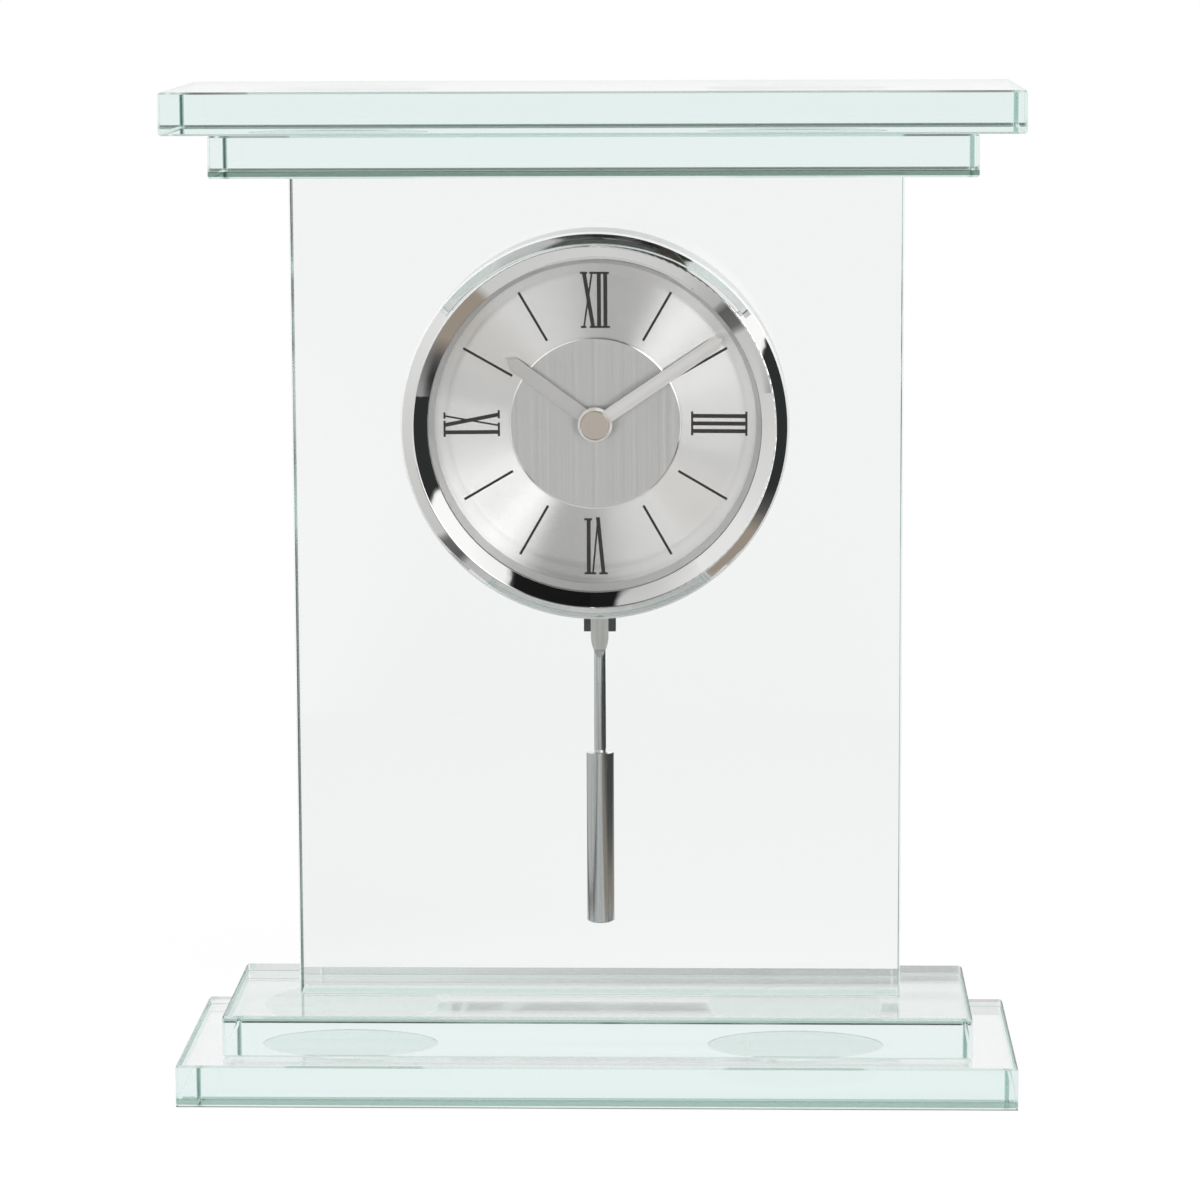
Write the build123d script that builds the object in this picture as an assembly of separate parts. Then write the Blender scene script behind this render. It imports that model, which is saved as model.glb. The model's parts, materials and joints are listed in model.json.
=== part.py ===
from build123d import *
import os
from math import acos, cos, hypot, pi, radians, sin, tan

# Desk pendulum clock: stepped glass stand, round head with a quartz movement, short pendulum.
# Millimetres, +Z up, origin under the middle of the base, dial facing -Y.

# Glass stand
SLAB_W = 200.0
SLAB_D = 70.0
SLAB_T = 10.0
STEP_W = 179.0
STEP_D = 55.5
STEP_T = 10.0
PANEL_W = 146.0
PANEL_T = 10.0
PANEL_H = 198.8
ARRIS = 0.5
PANEL_ARRIS = 0.4
CORNER_R = 0.8
BOND_T = 0.3
BOND_R = 21.2
BOND_LEFT_X = -60.0
BOND_RIGHT_X = 47.5
BOND_Y = -5.8

# Fits between pieces
SEAT_GAP = 0.02
RUNNING_GAP = 0.05
LOOSE_GAP = 0.3

# Clock head: shell, dial and lens
HEAD_DROP = 58.2
GASKET_T = 0.5
GASKET_W = 2.5
GASKET_INSET = 0.4
DRUM_WALL = 1.7
DRUM_FLOOR_T = 1.7
DIAL_SEAT_H = 9.5
DIAL_SEAT_W = 2.0
DIAL_T = 0.6
DIAL_RIM_W = 2.4
DISH_DEPTH = 1.3
WELL_R = 17.0
WELL_SLOPE = 1.5
WELL_DEPTH = 2.3
DISC_R = 20.3
DISC_T = 0.5
DISC_BEVEL = 0.25
SPACER_FOOT_W = 4.8
SPACER_LEAN = 1.2
LENS_T = 1.7
LENS_CLEARANCE = 0.8
BEZEL_LIP_W = 3.5
BEZEL_LIP_T = 0.5
BEZEL_INNER_W = 3.3
BEZEL_RIDGE_H = 3.2
BEZEL_SKIRT_T = 1.2
BEZEL_REAR_GAP = 1.0
BEZEL_SHOULDER = 0.2
BEZEL_BULGE = 0.14
BEZEL_INNER_BULGE = 0.08
BEZEL_RIDGE_ROUND = 0.35
NECK_WALL = 1.4
NECK_CLEARANCE = 0.5
CLAMP_W = 3.7
CLAMP_T = 5.5
CLAMP_NOTCHES = 12
CLAMP_NOTCH_R = 2.0

# Hands, as the clock shows about nine minutes past ten
HAND_T = 0.6
HAND_GAP = 0.8
HOUR_HAND_L = 25.8
HOUR_HAND_W = 3.3
HOUR_EYE_R = 3.7
HOUR_HAND_ANGLE = 306.4
MINUTE_HAND_L = 36.3
MINUTE_HAND_TIP_GAP = 1.7
MINUTE_HAND_W = 3.2
MINUTE_EYE_R = 4.1
MINUTE_HAND_ANGLE = 56.0
HAND_POINT = 1.95
CAP_R = 3.5
CAP_H = 1.7
CAP_EDGE = 0.3

# Movement case
CASE_WALL = 1.2
MOVEMENT_DEPTH = 21.0
BUSH_R = 3.6
BUSH_H = 3.0
NUT_FLATS = 10.0
NUT_T = 1.6
NUT_WASHER_R = 6.0
NUT_WASHER_T = 0.3
RUBBER_R = 8.0
RUBBER_T = 0.4
POST_R = 2.0
POST_ANGLE = 40.0
UPPER_POST_X = 14.0
SCREW_R = 0.75
SCREW_L = 6.0
SCREW_HEAD_R = 1.7
SCREW_HEAD_H = 1.0
PEG_POST_R = 1.2

# Wheels and arbors
PRESSURE = radians(25)
ADDENDUM = 0.8
DEDENDUM = 1.1
TOOTH_THINNING = 0.04
MOTION_MODULE = 0.25
DRIVE_MODULE = 0.2
CANNON_TEETH = 15
MINUTE_TEETH = 45
MINUTE_PINION_TEETH = 12
HOUR_TEETH = 48
CENTRE_TEETH = 60
THIRD_PINION_TEETH = 10
THIRD_TEETH = 50
SECOND_PINION_TEETH = 10
SECOND_TEETH = 48
ROTOR_PINION_TEETH = 12
MINUTE_ARBOR_ANGLE = radians(0)
THIRD_ARBOR_ANGLE = radians(225)
SECOND_ARBOR_ANGLE = radians(270)
ROTOR_ARBOR_ANGLE = radians(180)
WHEEL_T = 1.0
WHEEL_GAP = 0.6
PLATE_GAP = 0.5
PINION_OVERLAP = 0.2
CENTRE_ARBOR_R = 1.1
CENTRE_COLLAR_R = 1.5
HOUR_PIPE_WALL = 0.75
HOUR_PIPE_STAND = 0.2
ARBOR_STAND = 0.6
PIVOT_R = 0.5
ARBOR_R = 0.4
SETTING_ARBOR_R = 0.75
PIVOT_DEPTH = 0.6
BOSS_R = 1.1
BOSS_GAP = 0.4
BOSS_HOLE_DEPTH = 1.2

# Setting knob
KNOB_R = 4.5
KNOB_T = 5.0
KNOB_GAP = 0.5
KNOB_SOCKET = 3.0
KNOB_GROOVES = 18
KNOB_GROOVE_R = 0.5

# Stepping motor
ROTOR_HUB_R = 0.9
ROTOR_DROP = 1.0
ROTOR_MAGNET_R = 2.5
ROTOR_MAGNET_T = 2.4
ROTOR_AIR_GAP = 0.5
STATOR_T = 1.0
STATOR_BAR_W = 2.0
STATOR_POLE_R = 4.2
STATOR_REACH = 11.0
STATOR_RISE = 15.4
COIL_FLANGE_R = 3.6
COIL_FLANGE_T = 1.0
COIL_TUBE_R = 1.9
COIL_WINDING_R = 3.2
COIL_END_GAP = 0.6

# Battery, its contacts and the circuit
BATTERY_R = 7.25
BATTERY_L = 50.5
BATTERY_NUB_R = 2.75
BATTERY_NUB_L = 1.2
BATTERY_GAP = 0.25
BAY_CLEARANCE = 0.85
BAY_FLOOR_T = 1.1
BATTERY_RECESS = 0.95
CONTACT_T = 0.4
CONTACT_H = 7.0
CONTACT_W = 7.0
CONTACT_SPRING = 1.6
CONTACT_TAIL_W = 2.0
BOARD_T = 1.2
BOARD_H = 20.0
BOARD_STAND = 3.2
BOARD_MARGIN = 3.5
CHIP_R = 3.5
CHIP_H = 1.4
QUARTZ_R = 1.0
QUARTZ_L = 6.0

# Pendulum drive and pendulum
COIL_DROP = 21.0
COIL_R = 6.0
COIL_T = 4.0
COIL_CORE_R = 2.0
PIVOT_DROP = 8.0
PIN_R = 0.75
PIN_SEAT_DEPTH = 1.0
PIVOT_BOSS_R = 2.2
PIVOT_BOSS_H = 1.3
CLIP_R = 1.8
CLIP_T = 0.6
PIN_STAND = 0.4
HUB_R = 3.5
MAGNET_R = 4.0
MAGNET_T = 2.2
MAGNET_GAP = 1.6
MAGNET_RIM = 1.0
HANGER_T = 2.8
HANGER_L = 45.8
HANGER_TOP_W = 5.2
HANGER_FOOT_W = 6.0
BLOCK_W = 7.75
BLOCK_H = 8.0
HOOK_R = 0.9
HOOK_RISE = 4.8
TONGUE_W = 4.3
TONGUE_T = 1.2
TONGUE_GAP = 0.2
TONGUE_TOP = 3.2
TONGUE_TAPER = 3.5
ROD_R = 1.45
FLAT_END = 10.9
FLAT_RUN = 1.8
BOB_R = 3.35
BOB_L = 42.5
BOB_SOCKET = 6.0
BOB_EDGE = 0.35
BOB_CLEARANCE = 15.0

# Heights of the stand, from the table up
BASE_STEP_FOOT = SLAB_T + BOND_T
FOOT_BOND = BASE_STEP_FOOT + STEP_T
PANEL_FOOT = FOOT_BOND + BOND_T
PANEL_TOP = PANEL_FOOT + PANEL_H
TOP_STEP_FOOT = PANEL_TOP + BOND_T
TOP_BOND = TOP_STEP_FOOT + STEP_T
TOP_SLAB_FOOT = TOP_BOND + BOND_T
HEAD_Z = PANEL_TOP - HEAD_DROP

# The head's own frame: X right, Y up, depth towards the viewer from the middle of the panel
HEAD = Plane(origin=(0, 0, HEAD_Z), x_dir=(1, 0, 0), z_dir=(0, -1, 0))

# Radii of the shell, which goes round the sweep of the minute hand
SPACER_FOOT_R = MINUTE_HAND_L + MINUTE_HAND_TIP_GAP
DRUM_BORE_R = SPACER_FOOT_R + SPACER_FOOT_W
DRUM_R = DRUM_BORE_R + DRUM_WALL
BEZEL_R = DRUM_R + RUNNING_GAP + BEZEL_SKIRT_T
BEZEL_LIP_R = DRUM_BORE_R - BEZEL_LIP_W
BEZEL_RIDGE_R = BEZEL_LIP_R + BEZEL_INNER_W

# Depths of the dial and the hands
DRUM_BACK = PANEL_T / 2 + GASKET_T
DIAL_RIM_BACK = DRUM_BACK + DIAL_SEAT_H
DIAL_RIM = DIAL_RIM_BACK + DIAL_T
DIAL_INNER = DIAL_RIM - DISH_DEPTH
WELL_FLOOR = DIAL_INNER - WELL_DEPTH
DISC_FACE = DIAL_INNER + DISC_T
HOUR_HAND_BACK = DISC_FACE + HAND_GAP
MINUTE_HAND_BACK = HOUR_HAND_BACK + HAND_T + HAND_GAP
CAP_BACK = MINUTE_HAND_BACK + HAND_T
CAP_TOP = CAP_BACK + CAP_H
LENS_BACK = CAP_TOP + LENS_CLEARANCE
LENS_FACE = LENS_BACK + LENS_T

# Depths of the movement, from its front plate to its back
MOVEMENT_FRONT = WELL_FLOOR - DIAL_T - RUBBER_T
PLATE_BACK = MOVEMENT_FRONT - CASE_WALL
MOVEMENT_REAR = MOVEMENT_FRONT - MOVEMENT_DEPTH
REAR_WALL = MOVEMENT_REAR + CASE_WALL


def layer(number):
    """Back of a wheel in the train, counted from the front plate."""
    return PLATE_BACK - PLATE_GAP - WHEEL_T - number * (WHEEL_T + WHEEL_GAP)


HOUR_LAYER = layer(0)
MINUTE_LAYER = layer(1)
CENTRE_LAYER = layer(2)
THIRD_LAYER = layer(3)
SECOND_LAYER = layer(4)
ARBOR_FRONT = PLATE_BACK + PIVOT_DEPTH - RUNNING_GAP
HOUR_PIPE_BORE_R = CENTRE_ARBOR_R + RUNNING_GAP
HOUR_PIPE_R = HOUR_PIPE_BORE_R + HOUR_PIPE_WALL
HOUR_PIPE_END = HOUR_HAND_BACK + HAND_T + HOUR_PIPE_STAND
MAGNET_TOP = SECOND_LAYER - PINION_OVERLAP - ROTOR_DROP
MAGNET_FOOT = MAGNET_TOP - ROTOR_MAGNET_T
STATOR_BACK = (MAGNET_TOP + MAGNET_FOOT - STATOR_T) / 2
LOW_BOSS_TOP = SECOND_LAYER - BOSS_GAP
CENTRE_BOSS_TOP = CENTRE_LAYER - BOSS_GAP
ROTOR_BOSS_TOP = MAGNET_FOOT - BOSS_GAP


def step_from(start, module, teeth, other_teeth, angle):
    """Centre of a wheel in mesh with another one, in a given direction."""
    distance = module * (teeth + other_teeth) / 2
    return (start[0] + distance * cos(angle), start[1] + distance * sin(angle))


def mesh_phase(phase, teeth, other_teeth, angle):
    """Phase that puts a gap of the second wheel on a tooth of the first."""
    return angle + pi + pi / other_teeth - (phase - angle) * teeth / other_teeth


CENTRE = (0.0, 0.0)
MINUTE = step_from(CENTRE, MOTION_MODULE, CANNON_TEETH, MINUTE_TEETH, MINUTE_ARBOR_ANGLE)
THIRD = step_from(CENTRE, DRIVE_MODULE, CENTRE_TEETH, THIRD_PINION_TEETH, THIRD_ARBOR_ANGLE)
SECOND = step_from(THIRD, DRIVE_MODULE, THIRD_TEETH, SECOND_PINION_TEETH, SECOND_ARBOR_ANGLE)
ROTOR = step_from(SECOND, DRIVE_MODULE, SECOND_TEETH, ROTOR_PINION_TEETH, ROTOR_ARBOR_ANGLE)
MINUTE_PHASE = mesh_phase(0, CANNON_TEETH, MINUTE_TEETH, MINUTE_ARBOR_ANGLE)
MINUTE_PINION_PHASE = mesh_phase(0, HOUR_TEETH, MINUTE_PINION_TEETH, MINUTE_ARBOR_ANGLE)
THIRD_PINION_PHASE = mesh_phase(0, CENTRE_TEETH, THIRD_PINION_TEETH, THIRD_ARBOR_ANGLE)
SECOND_PINION_PHASE = mesh_phase(0, THIRD_TEETH, SECOND_PINION_TEETH, SECOND_ARBOR_ANGLE)
ROTOR_PINION_PHASE = mesh_phase(0, SECOND_TEETH, ROTOR_PINION_TEETH, ROTOR_ARBOR_ANGLE)

# Places across the movement: the bay clears the largest wheel and sets the case's radius
CENTRE_TIP_R = DRIVE_MODULE * (CENTRE_TEETH / 2 + ADDENDUM)
MOTION_TIP_R = MOTION_MODULE * (MINUTE_TEETH / 2 + ADDENDUM)
BAY_FLOOR = max(CENTRE_TIP_R, MOTION_TIP_R) + BAY_CLEARANCE
BATTERY_Y = BAY_FLOOR + BAY_FLOOR_T + BATTERY_GAP + BATTERY_R
BATTERY_D = MOVEMENT_REAR + BATTERY_RECESS + BATTERY_R
BATTERY_TOP = BATTERY_Y + BATTERY_R
CASE_BORE_R = hypot(BATTERY_L / 2, BATTERY_TOP) + LOOSE_GAP
MOVEMENT_R = CASE_BORE_R + CASE_WALL
NECK_BORE_R = MOVEMENT_R + LOOSE_GAP
NECK_R = NECK_BORE_R + NECK_WALL
HOLE_R = NECK_R + NECK_CLEARANCE
CLAMP_R = HOLE_R + CLAMP_W
CLAMP_FRONT = -PANEL_T / 2 - GASKET_T
CLAMP_REAR = CLAMP_FRONT - CLAMP_T
LOWER_POST_RING = CASE_BORE_R - POST_R - LOOSE_GAP
POST_PLACES = [
    (-UPPER_POST_X, BATTERY_TOP + POST_R + LOOSE_GAP),
    (UPPER_POST_X, BATTERY_TOP + POST_R + LOOSE_GAP),
    (-LOWER_POST_RING * cos(radians(POST_ANGLE)), -LOWER_POST_RING * sin(radians(POST_ANGLE))),
    (LOWER_POST_RING * cos(radians(POST_ANGLE)), -LOWER_POST_RING * sin(radians(POST_ANGLE))),
]
BOARD_LEFT = MINUTE[0] + BOARD_MARGIN
BOARD_RIGHT = BATTERY_L / 2
BUS_TOP = BAY_FLOOR - LOOSE_GAP
BOARD_TOP = BUS_TOP - CONTACT_T
BOARD_BACK = REAR_WALL + BOARD_STAND
BOARD_FRONT = BOARD_BACK + BOARD_T
BOARD_PEG_X = BOARD_LEFT + BOARD_MARGIN
BOARD_PEG_YS = (BOARD_TOP - BOARD_MARGIN, BOARD_TOP - BOARD_H + BOARD_MARGIN)
CORE_X = ROTOR[0] - STATOR_REACH
STATOR_TOP = ROTOR[1] + STATOR_RISE
STATOR_BOTTOM = ROTOR[1] - STATOR_POLE_R
MINUS_X = -BATTERY_L / 2 - CONTACT_SPRING - CONTACT_T

# Places along the pendulum
PIVOT_Y = -PIVOT_DROP
HUB_FRONT = MOVEMENT_REAR - PIVOT_BOSS_H - LOOSE_GAP
HANGER_FRONT = min(CLAMP_REAR - MAGNET_GAP, MOVEMENT_REAR - MAGNET_GAP - MAGNET_T)
HANGER_BACK = HANGER_FRONT - HANGER_T
HANGER_FOOT = PIVOT_Y - HANGER_L
HOOK_Y = HANGER_FOOT + HOOK_RISE
TONGUE_BACK = HANGER_FRONT + TONGUE_GAP
ROD_D = TONGUE_BACK + TONGUE_T / 2
FLAT_TIP = HOOK_Y - FLAT_END
FLAT_FULL = FLAT_TIP + FLAT_RUN
BOB_TOP = PANEL_FOOT + BOB_CLEARANCE + BOB_L - HEAD_Z


def disc(radius, low, high, at=CENTRE):
    """Round bar along the head's depth, between two depths."""
    return Pos(at[0], at[1], low) * extrude(Circle(radius), high - low)


def ring(outer, inner, low, high, at=CENTRE):
    """Flat ring between two depths."""
    return disc(outer, low, high, at) - disc(inner, low, high, at)


def block(x_range, y_range, depth_range):
    """Rectangular block between two values on each axis."""
    size = [high - low for low, high in (x_range, y_range, depth_range)]
    middle = [(high + low) / 2 for low, high in (x_range, y_range, depth_range)]
    return Pos(*middle) * Box(*size)


def turned(*profile):
    """Solid turned about the head's axis from (radius, depth) points."""
    return revolve(Plane.XZ * Polygon(*profile, align=None), Axis.Z)


def plate(outline, low, high):
    """Flat piece cut to an outline of (x, y) points."""
    return Pos(0, 0, low) * extrude(Polygon(*outline, align=None), high - low, dir=(0, 0, 1))


def upright(radius, low, high, depth):
    """Round bar that stands along the head's Y axis."""
    return Pos(0, low, depth) * Rot(-90, 0, 0) * Cylinder(radius, high - low, align=(
        Align.CENTER, Align.CENTER, Align.MIN))


def gear(teeth, module, low, high, at, phase=0.0):
    """Spur gear with involute flanks and one tooth centred on the angle phase."""
    pitch_r = module * teeth / 2
    base_r = pitch_r * cos(PRESSURE)
    root_r = pitch_r - DEDENDUM * module
    tip_r = pitch_r + ADDENDUM * module
    pitch_half = pi / (2 * teeth) - TOOTH_THINNING / (2 * pitch_r) + tan(PRESSURE) - PRESSURE

    def half_tooth(radius):
        roll = acos(min(1.0, base_r / radius))
        return pitch_half - tan(roll) + roll

    radii = sorted({root_r, max(root_r, base_r), pitch_r, tip_r})
    outline = []
    for tooth in range(teeth):
        middle = phase + 2 * pi * tooth / teeth
        for side, walk in ((-1, radii), (1, radii[::-1])):
            for radius in walk:
                angle = middle + side * half_tooth(radius)
                outline.append((radius * cos(angle), radius * sin(angle)))
    return Pos(at[0], at[1], 0) * plate(outline, low, high)


# Stand


def glass_slab(width, depth, thickness, foot):
    slab = Pos(0, 0, foot) * extrude(RectangleRounded(width, depth, CORNER_R), thickness)
    rims = slab.edges().group_by(Axis.Z)
    return chamfer(rims[0] + rims[-1], ARRIS)


def bond_discs(foot):
    film = extrude(Circle(BOND_R), BOND_T)
    return Pos(BOND_LEFT_X, BOND_Y, foot) * film + Pos(BOND_RIGHT_X, BOND_Y, foot) * film


def bond_strip(foot):
    film = RectangleRounded(PANEL_W - 2 * PANEL_ARRIS, PANEL_T - 2 * PANEL_ARRIS, PANEL_ARRIS)
    return Pos(0, 0, foot) * extrude(film, BOND_T)


def glass_panel():
    sheet = Pos(0, 0, PANEL_FOOT) * extrude(Rectangle(PANEL_W, PANEL_T), PANEL_H)
    sheet = chamfer(sheet.edges().filter_by(Axis.Z), PANEL_ARRIS)
    return sheet - HEAD.location * disc(HOLE_R, -PANEL_T, PANEL_T)


# Head shell and dial


def drum_case():
    wall = ring(DRUM_R, DRUM_BORE_R, DRUM_BACK, LENS_FACE)
    floor = disc(DRUM_R, DRUM_BACK, DRUM_BACK + DRUM_FLOOR_T)
    seat = ring(DRUM_R, DRUM_BORE_R - DIAL_SEAT_W, DRUM_BACK, DIAL_RIM_BACK)
    neck = disc(NECK_R, CLAMP_REAR, DRUM_BACK + DRUM_FLOOR_T)
    return wall + floor + seat + neck - disc(NECK_BORE_R, CLAMP_REAR, DRUM_BACK + DRUM_FLOOR_T)


def gasket(seat_r, low):
    """Soft ring near the edge of the round seat that presses it on the glass."""
    outer = seat_r - GASKET_INSET
    return ring(outer, outer - GASKET_W, low, low + GASKET_T)


def clamp_ring():
    body = ring(CLAMP_R, NECK_R + SEAT_GAP, CLAMP_REAR, CLAMP_FRONT)
    notch = disc(CLAMP_NOTCH_R, CLAMP_REAR, CLAMP_FRONT)
    return body - PolarLocations(CLAMP_R + CLAMP_NOTCH_R / 2, CLAMP_NOTCHES) * notch


def bowed(start, end, bulge):
    """Arc from start to end that bows out to the left of the way between them."""
    along = end[0] - start[0]
    up = end[1] - start[1]
    length = hypot(along, up)
    middle = ((start[0] + end[0]) / 2 - up / length * bulge, (start[1] + end[1]) / 2 + along / length * bulge)
    return ThreePointArc(start, middle, end)


def bezel():
    face = LENS_FACE + SEAT_GAP
    foot = DRUM_BACK + BEZEL_REAR_GAP
    lip = (BEZEL_LIP_R, face + BEZEL_LIP_T)
    ridge = (BEZEL_RIDGE_R, face + BEZEL_RIDGE_H)
    shoulder = (BEZEL_R, face - BEZEL_SHOULDER)
    sides = Polyline(shoulder, (BEZEL_R, foot), (DRUM_R + RUNNING_GAP, foot), (DRUM_R + RUNNING_GAP, face),
                     (BEZEL_LIP_R, face), lip)
    profile = make_face(sides + bowed(lip, ridge, BEZEL_INNER_BULGE) + bowed(ridge, shoulder, BEZEL_BULGE))
    profile = fillet(profile.vertices().sort_by(Axis.Y)[-1], BEZEL_RIDGE_ROUND)
    return revolve(Plane.XZ * profile, Axis.Z)


def spacer_ring():
    outer = DRUM_BORE_R - SEAT_GAP
    return turned((SPACER_FOOT_R, DIAL_RIM), (outer, DIAL_RIM), (outer, LENS_BACK),
                  (SPACER_FOOT_R + SPACER_LEAN, LENS_BACK))


def dial():
    hole = BUSH_R + LOOSE_GAP
    outer = DRUM_BORE_R - SEAT_GAP
    rim = outer - DIAL_RIM_W
    shape = [(hole, WELL_FLOOR), (WELL_R, WELL_FLOOR), (WELL_R + WELL_SLOPE, DIAL_INNER), (DISC_R, DIAL_INNER),
             (rim, DIAL_RIM), (outer, DIAL_RIM)]
    back = [(radius, depth - DIAL_T) for radius, depth in reversed(shape)]
    return turned(*shape, *back)


def centre_disc():
    body = ring(DISC_R, BUSH_R - LOOSE_GAP, DIAL_INNER, DISC_FACE)
    rim = body.edges().group_by(Axis.Z)[-1].sort_by(SortBy.RADIUS)[-1]
    return chamfer(rim, DISC_BEVEL)


# Hands


def hand(length, width, eye, bore, angle, back):
    """Flat bar with a pointed end and a round eye, turned clockwise from twelve."""
    half = width / 2
    bar = plate([(-half, 0), (half, 0), (half, length - HAND_POINT), (0, length), (-half, length - HAND_POINT)],
                back, back + HAND_T)
    shape = bar + disc(eye, back, back + HAND_T) - disc(bore + SEAT_GAP, back, back + HAND_T)
    return Rot(0, 0, -angle) * shape


def centre_cap():
    button = disc(CAP_R, CAP_BACK, CAP_TOP)
    button = chamfer(button.edges().group_by(Axis.Z)[-1], CAP_EDGE)
    return button - disc(CENTRE_ARBOR_R + SEAT_GAP, CAP_BACK, CAP_BACK + ARBOR_STAND + SEAT_GAP)


# Movement case


def movement_front_plate():
    body = disc(MOVEMENT_R, PLATE_BACK, MOVEMENT_FRONT) + disc(BUSH_R, PLATE_BACK, MOVEMENT_FRONT + BUSH_H)
    body -= disc(HOUR_PIPE_R + RUNNING_GAP, PLATE_BACK, MOVEMENT_FRONT + BUSH_H)
    for arbor in (THIRD, SECOND, ROTOR):
        body -= disc(ARBOR_R + RUNNING_GAP, PLATE_BACK, PLATE_BACK + PIVOT_DEPTH, arbor)
    body -= disc(PIVOT_R + RUNNING_GAP, PLATE_BACK, PLATE_BACK + PIVOT_DEPTH, MINUTE)
    for place in POST_PLACES:
        body -= disc(SCREW_R + RUNNING_GAP, PLATE_BACK, MOVEMENT_FRONT, place)
    return body


def bearing_boss(place, top, pivot_r):
    """Post on the rear wall with a blind bearing hole in its end."""
    post = disc(BOSS_R, REAR_WALL, top, place)
    return post - disc(pivot_r + RUNNING_GAP, top - BOSS_HOLE_DEPTH, top, place)


def movement_rear_case():
    body = disc(MOVEMENT_R, MOVEMENT_REAR, PLATE_BACK) - disc(CASE_BORE_R, REAR_WALL, PLATE_BACK)
    floor = block((-MOVEMENT_R, MOVEMENT_R), (BAY_FLOOR, BAY_FLOOR + BAY_FLOOR_T), (REAR_WALL, PLATE_BACK))
    body += floor & disc(MOVEMENT_R, REAR_WALL, PLATE_BACK)
    tails = (BOARD_BACK - LOOSE_GAP, BOARD_BACK + CONTACT_TAIL_W + LOOSE_GAP)
    for left in (BATTERY_L / 2, MINUS_X):
        slot_x = (left - LOOSE_GAP, left + CONTACT_T + LOOSE_GAP)
        body -= block(slot_x, (BAY_FLOOR, BAY_FLOOR + BAY_FLOOR_T), tails)
    window = (BAY_FLOOR + BAY_FLOOR_T, BATTERY_TOP + BATTERY_GAP)
    body -= block((-BATTERY_L / 2, BATTERY_L / 2), window, (MOVEMENT_REAR, REAR_WALL))
    for place in POST_PLACES:
        body += disc(POST_R, REAR_WALL, PLATE_BACK, place)
        body -= disc(SCREW_R + SEAT_GAP, MOVEMENT_FRONT - SCREW_L - LOOSE_GAP, PLATE_BACK, place)
    body += bearing_boss(CENTRE, CENTRE_BOSS_TOP, PIVOT_R)
    body += bearing_boss(THIRD, LOW_BOSS_TOP, ARBOR_R)
    body += bearing_boss(SECOND, LOW_BOSS_TOP, ARBOR_R)
    body += bearing_boss(ROTOR, ROTOR_BOSS_TOP, ARBOR_R)
    for peg_y in BOARD_PEG_YS:
        body += disc(PEG_POST_R, REAR_WALL, BOARD_BACK, (BOARD_PEG_X, peg_y))
    for peg in stator_pegs():
        body += disc(PEG_POST_R, REAR_WALL, STATOR_BACK, peg)
    body += disc(COIL_CORE_R, REAR_WALL, REAR_WALL + COIL_T, (0, -COIL_DROP))
    body += disc(PIVOT_BOSS_R, MOVEMENT_REAR - PIVOT_BOSS_H, MOVEMENT_REAR, (0, PIVOT_Y))
    pin_seat = MOVEMENT_REAR + PIN_SEAT_DEPTH
    body -= disc(PIN_R + SEAT_GAP, MOVEMENT_REAR - PIVOT_BOSS_H, pin_seat, (0, PIVOT_Y))
    return body - disc(SETTING_ARBOR_R + RUNNING_GAP, MOVEMENT_REAR, REAR_WALL, MINUTE)


def movement_screws():
    screw = disc(SCREW_HEAD_R, MOVEMENT_FRONT, MOVEMENT_FRONT + SCREW_HEAD_H)
    screw += disc(SCREW_R, MOVEMENT_FRONT - SCREW_L, MOVEMENT_FRONT)
    return [Pos(x, y, 0) * screw for x, y in POST_PLACES]


def bush_nut():
    low = WELL_FLOOR + NUT_WASHER_T
    hexagon = RegularPolygon(NUT_FLATS / 2, 6, major_radius=False)
    return Pos(0, 0, low) * extrude(hexagon, NUT_T) - disc(BUSH_R + SEAT_GAP, low, low + NUT_T)


# Wheel train


def centre_arbor():
    pinion_low = MINUTE_LAYER - PINION_OVERLAP
    pinion_high = MINUTE_LAYER + WHEEL_T + PINION_OVERLAP
    shape = disc(PIVOT_R, CENTRE_BOSS_TOP - BOSS_HOLE_DEPTH + RUNNING_GAP, CENTRE_LAYER)
    shape += disc(CENTRE_ARBOR_R, CENTRE_LAYER, CAP_BACK + ARBOR_STAND)
    shape += disc(CENTRE_COLLAR_R, CENTRE_LAYER + WHEEL_T, pinion_low)
    return shape + gear(CANNON_TEETH, MOTION_MODULE, pinion_low, pinion_high, CENTRE)


def centre_wheel():
    low, high = CENTRE_LAYER, CENTRE_LAYER + WHEEL_T
    return gear(CENTRE_TEETH, DRIVE_MODULE, low, high, CENTRE) - disc(CENTRE_ARBOR_R + SEAT_GAP, low, high)


def hour_wheel():
    wheel = gear(HOUR_TEETH, MOTION_MODULE, HOUR_LAYER, HOUR_LAYER + WHEEL_T, CENTRE)
    pipe = disc(HOUR_PIPE_R, HOUR_LAYER, HOUR_PIPE_END)
    return wheel + pipe - disc(HOUR_PIPE_BORE_R, HOUR_LAYER, HOUR_PIPE_END)


def minute_wheel():
    pinion_top = HOUR_LAYER + WHEEL_T + PINION_OVERLAP
    shape = gear(MINUTE_TEETH, MOTION_MODULE, MINUTE_LAYER, MINUTE_LAYER + WHEEL_T, MINUTE, MINUTE_PHASE)
    shape += gear(MINUTE_PINION_TEETH, MOTION_MODULE, MINUTE_LAYER + WHEEL_T, pinion_top, MINUTE,
                  MINUTE_PINION_PHASE)
    shape += disc(PIVOT_R, pinion_top, ARBOR_FRONT, MINUTE)
    return shape + disc(SETTING_ARBOR_R, MOVEMENT_REAR - KNOB_GAP - KNOB_SOCKET, MINUTE_LAYER, MINUTE)


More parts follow.
